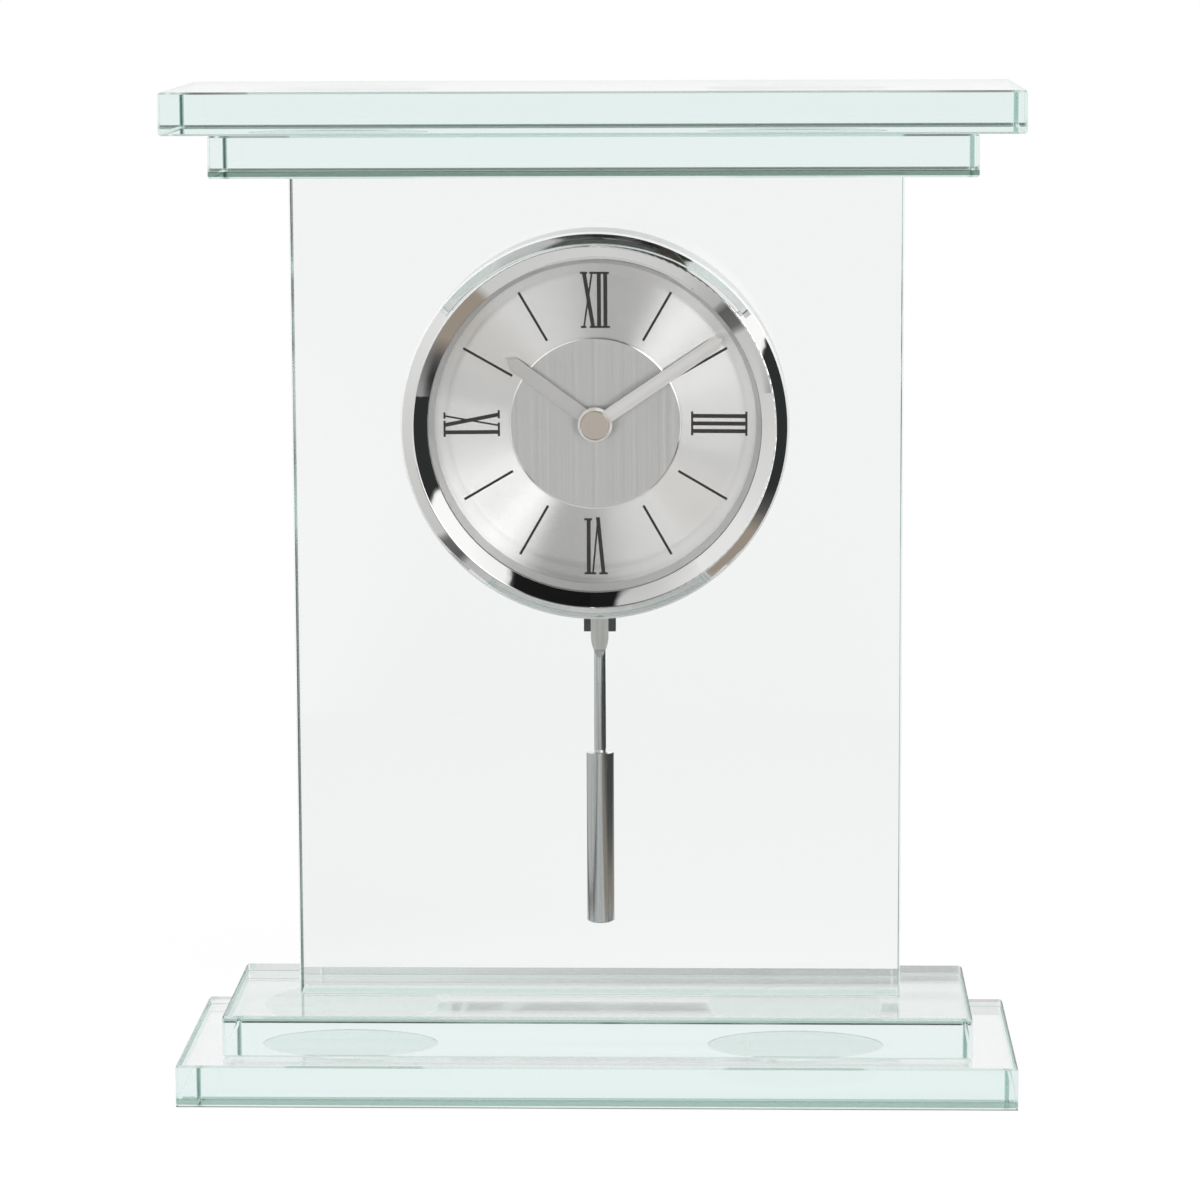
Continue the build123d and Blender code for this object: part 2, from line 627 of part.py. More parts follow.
def train_wheel(teeth, pinion_teeth, place, wheel_layer, pinion_phase):
    """Wheel with its pinion in front of it, on a thin arbor from the plate to its boss."""
    pinion_top = wheel_layer + 2 * WHEEL_T + WHEEL_GAP + PINION_OVERLAP
    shape = gear(teeth, DRIVE_MODULE, wheel_layer, wheel_layer + WHEEL_T, place)
    shape += gear(pinion_teeth, DRIVE_MODULE, wheel_layer + WHEEL_T, pinion_top, place, pinion_phase)
    return shape + disc(ARBOR_R, LOW_BOSS_TOP - BOSS_HOLE_DEPTH + RUNNING_GAP, ARBOR_FRONT, place)


def rotor():
    pinion_low = SECOND_LAYER - PINION_OVERLAP
    pinion_high = SECOND_LAYER + WHEEL_T + PINION_OVERLAP
    shape = gear(ROTOR_PINION_TEETH, DRIVE_MODULE, pinion_low, pinion_high, ROTOR, ROTOR_PINION_PHASE)
    shape += disc(ROTOR_HUB_R, MAGNET_FOOT, pinion_low, ROTOR)
    return shape + disc(ARBOR_R, ROTOR_BOSS_TOP - BOSS_HOLE_DEPTH + RUNNING_GAP, ARBOR_FRONT, ROTOR)


def setting_knob():
    high = MOVEMENT_REAR - KNOB_GAP
    body = disc(KNOB_R, high - KNOB_T, high)
    groove = disc(KNOB_GROOVE_R, high - KNOB_T, high)
    body -= PolarLocations(KNOB_R + KNOB_GROOVE_R / 2, KNOB_GROOVES) * groove
    body -= disc(SETTING_ARBOR_R + SEAT_GAP, high - KNOB_SOCKET - SEAT_GAP, high)
    return Pos(*MINUTE, 0) * body


# Stepping motor


def stator_pegs():
    """Places of the two pegs under the stator, beside the coil."""
    inset = STATOR_BAR_W / 2
    return ((ROTOR[0] - inset, STATOR_TOP - inset), (CORE_X + STATOR_BAR_W + inset, STATOR_BOTTOM + inset))


def stator():
    depth = (STATOR_BACK, STATOR_BACK + STATOR_T)
    half = STATOR_BAR_W / 2
    core = block((CORE_X - half, CORE_X + half), (STATOR_BOTTOM, STATOR_TOP), depth)
    foot = block((CORE_X - half, ROTOR[0]), (STATOR_BOTTOM, STATOR_BOTTOM + STATOR_BAR_W), depth)
    head = block((CORE_X - half, ROTOR[0] + half), (STATOR_TOP - STATOR_BAR_W, STATOR_TOP), depth)
    arm = block((ROTOR[0] - half, ROTOR[0] + half), (ROTOR[1], STATOR_TOP), depth)
    pole = disc(STATOR_POLE_R, *depth, ROTOR)
    return core + foot + head + arm + pole - disc(ROTOR_MAGNET_R + ROTOR_AIR_GAP, *depth, ROTOR)


def coil_span():
    """Lowest and highest points of the motor coil on its core."""
    return STATOR_BOTTOM + STATOR_BAR_W + COIL_END_GAP, STATOR_TOP - STATOR_BAR_W - COIL_END_GAP


def motor_bobbin():
    low, high = coil_span()
    depth = STATOR_BACK + STATOR_T / 2
    spool = upright(COIL_TUBE_R, low, high, depth)
    spool += upright(COIL_FLANGE_R, low, low + COIL_FLANGE_T, depth)
    spool += upright(COIL_FLANGE_R, high - COIL_FLANGE_T, high, depth)
    bore = STATOR_BAR_W / 2 + SEAT_GAP
    thick = (STATOR_BACK - SEAT_GAP, STATOR_BACK + STATOR_T + SEAT_GAP)
    return Pos(CORE_X, 0, 0) * (spool - block((-bore, bore), (low, high), thick))


def motor_winding():
    low, high = coil_span()
    low, high = low + COIL_FLANGE_T, high - COIL_FLANGE_T
    depth = STATOR_BACK + STATOR_T / 2
    sleeve = upright(COIL_WINDING_R, low, high, depth) - upright(COIL_TUBE_R + SEAT_GAP, low, high, depth)
    return Pos(CORE_X, 0, 0) * sleeve


# Battery and circuit


def battery():
    bar = Rot(0, 90, 0) * Cylinder(BATTERY_R, BATTERY_L - BATTERY_NUB_L)
    nub = Rot(0, 90, 0) * Cylinder(BATTERY_NUB_R, BATTERY_L)
    return Pos(-BATTERY_NUB_L / 2, BATTERY_Y, BATTERY_D) * bar + Pos(0, BATTERY_Y, BATTERY_D) * nub


def contact_heights():
    """Foot and top of the two contact plates beside the battery."""
    return BATTERY_Y - CONTACT_H / 2, BATTERY_Y + CONTACT_H / 2


def contact_plus():
    foot, top = contact_heights()
    x_range = (BATTERY_L / 2 + SEAT_GAP, BATTERY_L / 2 + SEAT_GAP + CONTACT_T)
    blade = block(x_range, (foot, top), (BATTERY_D - CONTACT_W / 2, BATTERY_D + CONTACT_W / 2))
    tail_d = (BOARD_BACK, BOARD_BACK + CONTACT_TAIL_W)
    return blade + block(x_range, (BOARD_TOP - CONTACT_H, top), tail_d)


def contact_minus():
    foot, top = contact_heights()
    tip = -BATTERY_L / 2 - SEAT_GAP
    leaf = [(MINUS_X, foot), (MINUS_X, top), (MINUS_X + 2 * CONTACT_T, top), (tip, BATTERY_Y),
            (tip, BATTERY_Y - CONTACT_T), (MINUS_X + CONTACT_T, top - 2 * CONTACT_T), (MINUS_X + CONTACT_T, foot)]
    blade = plate(leaf, BATTERY_D - CONTACT_W / 2, BATTERY_D + CONTACT_W / 2)
    tail_d = (BOARD_BACK, BOARD_BACK + CONTACT_TAIL_W)
    tail = block((MINUS_X, MINUS_X + CONTACT_T), (BOARD_TOP, top), tail_d)
    return blade + tail + block((MINUS_X, BOARD_PEG_X), (BOARD_TOP, BUS_TOP), tail_d)


def circuit_board():
    return block((BOARD_LEFT, BOARD_RIGHT), (BOARD_TOP - BOARD_H, BOARD_TOP), (BOARD_BACK, BOARD_FRONT))


def chip():
    place = ((BOARD_LEFT + BOARD_RIGHT) / 2, BOARD_TOP - BOARD_H / 2)
    blob = disc(CHIP_R, BOARD_FRONT, BOARD_FRONT + CHIP_H, place)
    return fillet(blob.edges().group_by(Axis.Z)[-1], CHIP_H / 2)


def quartz_can():
    middle = (BOARD_LEFT + BOARD_RIGHT) / 2
    can = Rot(0, 90, 0) * Cylinder(QUARTZ_R, QUARTZ_L)
    return Pos(middle, BOARD_TOP - BOARD_H + BOARD_MARGIN, BOARD_FRONT + QUARTZ_R) * can


# Pendulum


def pivot_pin():
    clip_back = HANGER_BACK - LOOSE_GAP - CLIP_T
    return disc(PIN_R, clip_back - PIN_STAND, MOVEMENT_REAR + PIN_SEAT_DEPTH - SEAT_GAP, (0, PIVOT_Y))


def pivot_clip():
    high = HANGER_BACK - LOOSE_GAP
    return ring(CLIP_R, PIN_R + SEAT_GAP, high - CLIP_T, high, (0, PIVOT_Y))


def pendulum_hanger():
    block_top = HANGER_FOOT + BLOCK_H
    arm = plate([(-HANGER_TOP_W / 2, PIVOT_Y), (-HANGER_FOOT_W / 2, block_top), (HANGER_FOOT_W / 2, block_top),
                 (HANGER_TOP_W / 2, PIVOT_Y)], HANGER_BACK, HANGER_FRONT)
    arm += disc(HUB_R, HANGER_BACK, HUB_FRONT, (0, PIVOT_Y))
    arm += disc(MAGNET_R + MAGNET_RIM, HANGER_BACK, HANGER_FRONT, (0, -COIL_DROP))
    arm += block((-BLOCK_W / 2, BLOCK_W / 2), (HANGER_FOOT, block_top), (HANGER_BACK, HANGER_FRONT))
    arm += disc(HOOK_R, HANGER_FRONT, TONGUE_BACK + TONGUE_T + TONGUE_GAP, (0, HOOK_Y))
    return arm - disc(PIN_R + RUNNING_GAP, HANGER_BACK, HUB_FRONT, (0, PIVOT_Y))


def pendulum_rod():
    """Round rod with a flattened, spoon-shaped top end that hangs on the hook."""
    half = TONGUE_W / 2
    wide = FLAT_FULL + TONGUE_TAPER
    top = HOOK_Y + TONGUE_TOP
    outline = Polyline((half, wide), (half, top), (-half, top), (-half, wide))
    outline += Line((-ROD_R, FLAT_FULL), (ROD_R, FLAT_FULL))
    for side in (-1, 1):
        outline += TangentArc((side * half, wide), (side * ROD_R, FLAT_FULL), tangent=(0, -1))
    tongue = Pos(0, 0, TONGUE_BACK) * extrude(make_face(outline), TONGUE_T, dir=(0, 0, 1))
    tongue -= disc(HOOK_R + RUNNING_GAP, TONGUE_BACK, TONGUE_BACK + TONGUE_T, (0, HOOK_Y))
    flats = [(FLAT_TIP, ROD_D - ROD_R), (FLAT_FULL, TONGUE_BACK), (FLAT_FULL + TONGUE_T, TONGUE_BACK),
             (FLAT_FULL + TONGUE_T, TONGUE_BACK + TONGUE_T), (FLAT_FULL, TONGUE_BACK + TONGUE_T),
             (FLAT_TIP, ROD_D + ROD_R)]
    wedge = extrude(Plane.YZ * Polygon(*flats, align=None), ROD_R, both=True)
    neck = upright(ROD_R, FLAT_TIP, FLAT_FULL + TONGUE_T, ROD_D) & wedge
    return tongue + neck + upright(ROD_R, BOB_TOP - BOB_SOCKET, FLAT_TIP, ROD_D)


def pendulum_bob():
    bar = upright(BOB_R, BOB_TOP - BOB_L, BOB_TOP, ROD_D)
    bar = chamfer(bar.edges().filter_by(GeomType.CIRCLE), BOB_EDGE)
    return bar - upright(ROD_R + SEAT_GAP, BOB_TOP - BOB_SOCKET - SEAT_GAP, BOB_TOP, ROD_D)


STAND = {
    "base_slab": glass_slab(SLAB_W, SLAB_D, SLAB_T, 0),
    "base_bond_discs": bond_discs(SLAB_T),
    "base_step_slab": glass_slab(STEP_W, STEP_D, STEP_T, BASE_STEP_FOOT),
    "panel_foot_bond": bond_strip(FOOT_BOND),
    "glass_panel": glass_panel(),
    "panel_top_bond": bond_strip(PANEL_TOP),
    "top_step_slab": glass_slab(STEP_W, STEP_D, STEP_T, TOP_STEP_FOOT),
    "top_bond_discs": bond_discs(TOP_BOND),
    "top_slab": glass_slab(SLAB_W, SLAB_D, SLAB_T, TOP_SLAB_FOOT),
}

HEAD_PIECES = {
    "drum_case": drum_case(),
    "front_gasket": gasket(DRUM_R, PANEL_T / 2),
    "rear_gasket": gasket(CLAMP_R, CLAMP_FRONT),
    "clamp_ring": clamp_ring(),
    "bezel": bezel(),
    "lens": disc(DRUM_BORE_R - SEAT_GAP, LENS_BACK, LENS_FACE),
    "spacer_ring": spacer_ring(),
    "dial": dial(),
    "centre_disc": centre_disc(),
    "hour_hand": hand(HOUR_HAND_L, HOUR_HAND_W, HOUR_EYE_R, HOUR_PIPE_R, HOUR_HAND_ANGLE, HOUR_HAND_BACK),
    "minute_hand": hand(MINUTE_HAND_L, MINUTE_HAND_W, MINUTE_EYE_R, CENTRE_ARBOR_R, MINUTE_HAND_ANGLE,
                        MINUTE_HAND_BACK),
    "centre_cap": centre_cap(),
    "rubber_washer": ring(RUBBER_R, BUSH_R + SEAT_GAP, MOVEMENT_FRONT, MOVEMENT_FRONT + RUBBER_T),
    "nut_washer": ring(NUT_WASHER_R, BUSH_R + SEAT_GAP, WELL_FLOOR, WELL_FLOOR + NUT_WASHER_T),
    "bush_nut": bush_nut(),
    "movement_front_plate": movement_front_plate(),
    "movement_rear_case": movement_rear_case(),
    "movement_screws": Compound(children=movement_screws()),
    "centre_arbor": centre_arbor(),
    "centre_wheel": centre_wheel(),
    "hour_wheel": hour_wheel(),
    "minute_wheel": minute_wheel(),
    "setting_knob": setting_knob(),
    "third_wheel": train_wheel(THIRD_TEETH, THIRD_PINION_TEETH, THIRD, THIRD_LAYER, THIRD_PINION_PHASE),
    "second_wheel": train_wheel(SECOND_TEETH, SECOND_PINION_TEETH, SECOND, SECOND_LAYER, SECOND_PINION_PHASE),
    "rotor": rotor(),
    "rotor_magnet": ring(ROTOR_MAGNET_R, ROTOR_HUB_R + SEAT_GAP, MAGNET_FOOT, MAGNET_TOP, ROTOR),
    "stator": stator(),
    "motor_bobbin": motor_bobbin(),
    "motor_winding": motor_winding(),
    "battery": battery(),
    "contact_plus": contact_plus(),
    "contact_minus": contact_minus(),
    "circuit_board": circuit_board(),
    "chip": chip(),
    "quartz_can": quartz_can(),
    "pendulum_coil": ring(COIL_R, COIL_CORE_R + SEAT_GAP, REAR_WALL, REAR_WALL + COIL_T, (0, -COIL_DROP)),
    "pivot_pin": pivot_pin(),
    "pivot_clip": pivot_clip(),
    "pendulum_hanger": pendulum_hanger(),
    "pendulum_magnet": disc(MAGNET_R, HANGER_FRONT, HANGER_FRONT + MAGNET_T, (0, -COIL_DROP)),
    "pendulum_rod": pendulum_rod(),
    "pendulum_bob": pendulum_bob(),
}

os.makedirs("parts", exist_ok=True)
for name, piece in STAND.items():
    export_step(piece, f"parts/{name}.step")
for name, piece in HEAD_PIECES.items():
    export_step(HEAD.location * piece, f"parts/{name}.step")
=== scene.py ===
import json
from math import cos, pi, radians, sin

import bmesh
import bpy
from mathutils import Matrix, Vector


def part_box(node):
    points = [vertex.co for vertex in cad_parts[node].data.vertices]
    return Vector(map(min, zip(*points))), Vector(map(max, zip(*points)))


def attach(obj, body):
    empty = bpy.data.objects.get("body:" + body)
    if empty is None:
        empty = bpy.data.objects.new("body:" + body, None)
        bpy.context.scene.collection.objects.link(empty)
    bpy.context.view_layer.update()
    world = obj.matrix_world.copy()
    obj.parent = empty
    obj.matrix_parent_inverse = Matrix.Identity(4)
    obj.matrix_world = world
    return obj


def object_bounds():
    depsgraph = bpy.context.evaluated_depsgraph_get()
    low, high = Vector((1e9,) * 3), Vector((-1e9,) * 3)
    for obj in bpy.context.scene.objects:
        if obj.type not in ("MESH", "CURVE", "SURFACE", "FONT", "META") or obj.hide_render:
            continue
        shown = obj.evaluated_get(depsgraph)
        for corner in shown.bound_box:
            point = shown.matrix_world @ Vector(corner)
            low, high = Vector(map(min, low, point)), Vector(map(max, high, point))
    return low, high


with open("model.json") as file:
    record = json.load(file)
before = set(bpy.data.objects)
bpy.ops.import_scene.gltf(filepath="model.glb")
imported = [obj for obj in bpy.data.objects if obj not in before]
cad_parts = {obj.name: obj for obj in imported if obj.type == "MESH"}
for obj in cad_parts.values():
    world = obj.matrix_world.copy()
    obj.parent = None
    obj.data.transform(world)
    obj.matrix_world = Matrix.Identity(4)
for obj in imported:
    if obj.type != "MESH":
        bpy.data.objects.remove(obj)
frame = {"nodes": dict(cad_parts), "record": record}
cad_low, cad_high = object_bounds()
nodes = frame["nodes"]
head_low, head_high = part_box("bezel")
head_axis_z = (head_low.z + head_high.z) / 2
MM = 0.001
TO_RIGHT = (1.0, 0.0, 0.0)
TO_FRONT = (0.0, -1.0, 0.0)
TO_BACK = (0.0, 1.0, 0.0)
UP = (0.0, 0.0, 1.0)

# Camera: where the photograph was taken from, in metres and radians
CAMERA_PLACE = Vector((0.03525, -1.07243, 0.27985))
CAMERA_YAW = -0.03247
CAMERA_PITCH = -0.15088
CAMERA_ROLL = -0.00432
CAMERA_NEAR = 0.01
FOCAL_PX = 4502.36
FRAME_PX = 1200
SENSOR_MM = 36

# Print on the dial, in millimetres
HOURS = 12
NUMERAL_STEP = 3
PRINT_FOOT_R = 22.6
PRINT_TOP_R = 35.9
PRINT_LIFT = 0.005
PRINT_THICK = 0.035
BATON_W = 0.60
SERIF_H = 0.50
THICK_STROKE = 0.93
THIN_STROKE = 0.42
THREE_STEM = 0.94

# Each numeral, across from its left edge: slants as (top, foot, width), stems as (middle, width),
# serif bars as (left, right). A pointed foot drops below the foot line.
NUMERALS = {
    12: {
        "width": 6.9,
        "drop": 0.0,
        "slants": [(0.87, 3.05, THICK_STROKE), (2.80, 0.83, THIN_STROKE)],
        "stems": [(4.42, THICK_STROKE), (5.93, THICK_STROKE)],
        "top": [(0.0, 1.72), (2.19, 6.82)],
        "foot": [(0.1, 1.39), (2.19, 6.98)],
    },
    3: {
        "width": 5.7,
        "drop": 0.0,
        "slants": [],
        "stems": [(1.06, THREE_STEM), (2.85, THREE_STEM), (4.64, THREE_STEM)],
        "top": [(0.0, 5.7)],
        "foot": [(0.0, 5.7)],
    },
    6: {
        "width": 5.6,
        "drop": 0.25,
        "slants": [(0.97, 2.30, THICK_STROKE), (3.52, 2.30, THIN_STROKE)],
        "stems": [(4.50, THICK_STROKE)],
        "top": [(0.0, 2.0), (2.75, 5.5)],
        "foot": [(3.69, 5.57)],
    },
    9: {
        "width": 6.2,
        "drop": 0.0,
        "slants": [(2.77, 5.30, THICK_STROKE), (5.05, 2.62, THIN_STROKE)],
        "stems": [(1.10, THICK_STROKE)],
        "top": [(0.0, 3.83), (4.32, 5.83)],
        "foot": [(0.1, 3.34), (4.32, 6.27)],
    },
}

# Turn of each hand at rest, in degrees clockwise from twelve
HOUR_HAND_TURN = 306.4
MINUTE_HAND_TURN = 56.0

# Flat end of the pendulum's rod, in millimetres
SPOON_L = 12.3

# Lamps: places and sizes in metres, power in watts
KEY_PLACE = (0.5, -0.7, 0.8)
KEY_SIZE = 0.6
KEY_WATTS = 5.0
FILL_PLACE = (-0.7, -0.5, 0.4)
FILL_SIZE = 0.8
FILL_WATTS = 2.2

# Light from all round, as plain levels where 1 is white
WHITE = (1.0, 1.0, 1.0, 1.0)
AMBIENT = 0.72

# Floor: levels of light, with its reach in metres, and its gap and the width of its painted shadow in
# millimetres
FLOOR_REACH = 0.5
FLOOR_GAP = 0.1
FLOOR_PAPER = 0.25
FLOOR_GLOW = 0.78
FLOOR_SHADOW_RIM = 3.0
FLOOR_SHADOW_GLOW = 0.05
FLOOR_AHEAD = 0.34

# What polished surfaces see in the floor, in metres: it dims ahead of the clock for the panel's own faces,
# whose reflections cross them twice at most, and stays plain on a patch behind the clock
AHEAD_EDGE = (-0.08, -0.20)
PANEL_CROSSINGS = 2
PATCH_HALF_W = 0.13
PATCH_NEAR = 0.03
PATCH_FAR = 0.13

# Where what metal sees changes, by how far a direction points to the back
ROOM_EDGE = (-0.975, -0.995)
SIDE_EDGE = (-0.55, -0.42)
BACK_EDGE = (0.60, 0.78)

# Waver in the turn of the side cards, as a share of a full turn, and its scale
CARD_WAVER = 0.06
CARD_WAVER_SCALE = 3.5

# What polished metal sees: cards by their turn in degrees clockwise from straight up
ROOM = (0.47, 0.46, 0.44, 1.0)
DARK_FLAG = (0.030, 0.033, 0.033, 1.0)
TAN_WALL = (0.35, 0.30, 0.25, 1.0)
SIDE_CARDS = [
    (0, 0.008),
    (28, 0.012),
    (30, 1.00),
    (45, 1.10),
    (70, 1.10),
    (72, DARK_FLAG),
    (115, DARK_FLAG),
    (122, 0.10),
    (129, TAN_WALL),
    (146, TAN_WALL),
    (149, 0.66),
    (185, 0.72),
    (208, 0.66),
    (214, 0.56),
    (221, 0.50),
    (223, 0.12),
    (230, 0.16),
    (232, 0.62),
    (270, 0.74),
    (300, 0.88),
    (318, 0.90),
    (334, 0.68),
    (345, 0.60),
    (348, 0.012),
]
FRONT_CARDS = [
    (0, 0.10),
    (24, 0.10),
    (34, 1.60),
    (45, 2.50),
    (62, 2.00),
    (80, 1.50),
    (90, 0.80),
    (105, 0.84),
    (135, 0.95),
    (160, 0.72),
    (174, 0.28),
    (204, 0.22),
    (214, 0.90),
    (225, 1.06),
    (242, 1.02),
    (260, 0.80),
    (270, 0.66),
    (285, 1.02),
    (315, 1.16),
    (340, 0.80),
    (354, 0.20),
]

# Glass
GLASS_IOR = 1.52
GLASS_BODY = (0.945, 0.945, 0.943, 1.0)
GLASS_CLEAR = (0.08, 0.77, 0.65, 1.0)
GLASS_DENSITY = 2.5
ARRIS_ROUGHNESS = 0.15
# Painted shade: the tints that ground arrises take where they are seen from inside the glass
SLAB_ARRIS_SHADE = (0.24, 0.38, 0.33, 1.0)
PANEL_ARRIS_SHADE = (0.80, 0.85, 0.84, 1.0)
CONTACT_DEPTH = 0.05
CONTACT_TINT = (0.90, 0.93, 0.92, 1.0)

# Painted shade along the foot of two slabs' upright faces: a dark band with its height in millimetres, and
# tint
BASE_FOOT_SHADE = (2.0, (0.21, 0.31, 0.26, 1.0))
TOP_STEP_FOOT_SHADE = (1.7, (0.06, 0.11, 0.083, 1.0))

# Width of the painted highlight on the bezel's outer edge, in millimetres
HIGHLIGHT_EDGE_W = 0.5

# Limits on a face's direction, where 1 points straight along an axis: a ground arris stays under its limit
# on every axis, an upright face on the height, and the bezel's side and a bevel on the depth
ARRIS_LIMIT = 0.95
UPRIGHT_LIMIT = 0.5
SIDE_LIMIT = 0.2
BEVEL_LIMIT = 0.99

# Outward lean of the shine on a bevel
BEVEL_EASE = 0.36

# Tool marks, in millimetres: how far apart they are, and how far brushed ones wander
TURNED_MARKS = 0.25
CAP_MARKS = 0.2
FINE_MARKS = 0.35
BROAD_MARKS = 1.2
MARK_WANDER = 0.3

# Drawn marks: lengths along the bar are shortened to this share, so that the marks run long
DRAWN_STRETCH = 0.01

# Battery: shares of its length, from the foot to the cap
BAND_START = 0.72
STEEL_FOOT = 0.02
STEEL_CAP = 0.975


class Wire:
    """One value or colour on its way through a finish. Sums written with it become Math nodes."""

    def __init__(self, finish, socket):
        self.finish = finish
        self.socket = socket

    def __getitem__(self, name):
        return Wire(self.finish, self.socket.node.outputs[name])

    def sum(self, operation, *values):
        return self.finish.node("ShaderNodeMath", {"operation": operation}, dict(enumerate(values)))

    def __add__(self, other):
        return self.sum("ADD", self, other)

    def __radd__(self, other):
        return self.sum("ADD", other, self)

    def __sub__(self, other):
        return self.sum("SUBTRACT", self, other)

    def __rsub__(self, other):
        return self.sum("SUBTRACT", other, self)

    def __mul__(self, other):
        return self.sum("MULTIPLY", self, other)

    def __rmul__(self, other):
        return self.sum("MULTIPLY", other, self)

    def __truediv__(self, other):
        return self.sum("DIVIDE", self, other)

    def __abs__(self):
        return self.sum("ABSOLUTE", self)

    def __gt__(self, other):
        return self.sum("GREATER_THAN", self, other)

    def __lt__(self, other):
        return self.sum("LESS_THAN", self, other)

    def most(self, other):
        return self.sum("MAXIMUM", self, other)

    def ramp(self, low, high, start=0.0, end=1.0):
        """Goes smoothly from start to end as this value goes from low to high."""
        return self.finish.node(
            "ShaderNodeMapRange",
            {"interpolation_type": "SMOOTHSTEP"},
            {"Value": self, "From Min": low, "From Max": high, "To Min": start, "To Max": end},
        )


class Finish:
    """The nodes of one material, or of the studio round the object."""

    def __init__(self, owner):
        self.owner = owner
        owner.use_nodes = True
        self.tree = owner.node_tree
        self.tree.nodes.clear()

    def node(self, kind, settings=None, sockets=None):
        made = self.tree.nodes.new(kind)
        for name, value in (settings or {}).items():
            if name == "stops":
                self.set_stops(made.color_ramp, value)
            else:
                setattr(made, name, value)
        for name, value in (sockets or {}).items():
            if isinstance(value, Wire):
                self.tree.links.new(value.socket, made.inputs[name])
            else:
                made.inputs[name].default_value = value
        return Wire(self, next((out for out in made.outputs if out.enabled), None))

    @staticmethod
    def set_stops(ramp, stops):
        ramp.elements.remove(ramp.elements[1])
        ramp.elements[0].position, ramp.elements[0].color = stops[0]
        for position, colour in stops[1:]:
            ramp.elements.new(position).color = colour

    def place(self):
        """The point on the piece, in millimetres."""
        metres = self.node("ShaderNodeTexCoord")["Object"]
        return self.vector("SCALE", metres, scale=1 / MM)

    def vector(self, operation, first, second=None, scale=None):
        sockets = {0: first}
        if second is not None:
            sockets[1] = second
        if scale is not None:
            sockets["Scale"] = scale
        return self.node("ShaderNodeVectorMath", {"operation": operation}, sockets)

    def facing(self):
        """The three parts of the direction that the face points in."""
        return self.parts(self.node("ShaderNodeNewGeometry")["True Normal"])

    def parts(self, vector):
        split = self.node("ShaderNodeSeparateXYZ", {}, {"Vector": vector})
        return split["X"], split["Y"], split["Z"]

    def join(self, x, y, z):
        return self.node("ShaderNodeCombineXYZ", {}, {"X": x, "Y": y, "Z": z})

    def mix(self, factor, low, high):
        """The colour low where factor is 0 and high where it is 1."""
        mixed = self.node("ShaderNodeMix", {"data_type": "RGBA"}, {"Factor": factor, 6: low, 7: high})
        return Wire(self, mixed.socket.node.outputs[2])

    def noise(self, vector, scale, detail=3.0, roughness=0.5):
        sockets = {"Vector": vector, "Scale": scale, "Detail": detail, "Roughness": roughness}
        return self.node("ShaderNodeTexNoise", {}, sockets)["Fac"]

    def bump(self, height, strength, distance_mm):
        sockets = {"Height": height, "Strength": strength, "Distance": distance_mm * MM}
        return self.node("ShaderNodeBump", {}, sockets)

    def surface(self, sockets):
        return self.node("ShaderNodeBsdfPrincipled", {}, sockets)

    def satin(self, sockets, across, spread):
        """Marked metal: equal shares of its shine lean to both sides, across the marks, in steps of
        spread. The first share stands upright."""
        upright = self.node("ShaderNodeNewGeometry")["Normal"]
        mixed = self.surface(sockets)
        for count, lean in enumerate((spread, -spread, 2 * spread, -2 * spread), start=2):
            leaning = self.vector("ADD", upright, self.vector("SCALE", across, scale=lean))
            share = self.surface({**sockets, "Normal": self.vector("NORMALIZE", leaning)})
            mixed = self.blend(1 / count, mixed, share)
        return mixed

    def blend(self, factor, low, high):
        return self.node("ShaderNodeMixShader", {}, {0: factor, 1: low, 2: high})

    def done(self, surface, volume=None):
        around = isinstance(self.owner, bpy.types.World)
        kind = "ShaderNodeOutputWorld" if around else "ShaderNodeOutputMaterial"
        sockets = {"Surface": surface}
        if volume is not None:
            sockets["Volume"] = volume
        self.node(kind, {}, sockets)
        return self.owner


def new_finish(name):
    return Finish(bpy.data.materials.new(name))


def darker(colour, share):
    return tuple(share * level for level in colour[:3]) + (1.0,)


def lets_lamps_through(finish, glass):
    """Lamps shine through the glass as through air."""
    shadow = finish.node("ShaderNodeLightPath")["Is Shadow Ray"]
    return finish.blend(shadow, glass, finish.node("ShaderNodeBsdfTransparent"))


def inside_discs(x, y, low, high):
    """1 inside two round discs that fill the box from low to high."""
    radius = (high.y - low.y) / 2
    middle = (high.y + low.y) / 2
    either = None
    for centre in (low.x + radius, high.x - radius):
        side = x - centre / MM
        up = y - middle / MM
        inside = (side * side + up * up) < (radius / MM) ** 2
        either = inside if either is None else either.most(inside)
    return either


def inside_strip(x, y, low, high):
    """1 inside the box from low to high."""
    across = (x > low.x / MM) * (x < high.x / MM)
    return across * (y > low.y / MM) * (y < high.y / MM)


def contact(finish):
    """1 where the slabs are wetted by adhesive, which light crosses without bending."""
    x, y, z = finish.parts(finish.place())
    wetted = None
    films = {
        "base_bond_discs": inside_discs,
        "panel_foot_bond": inside_strip,
        "panel_top_bond": inside_strip,
        "top_bond_discs": inside_discs,
    }
    for film, inside in films.items():
        low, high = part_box(film)
        level = (z > low.z / MM - CONTACT_DEPTH) * (z < high.z / MM + CONTACT_DEPTH)
        patch = level * inside(x, y, low, high)
        wetted = patch if wetted is None else wetted.most(patch)
    return wetted


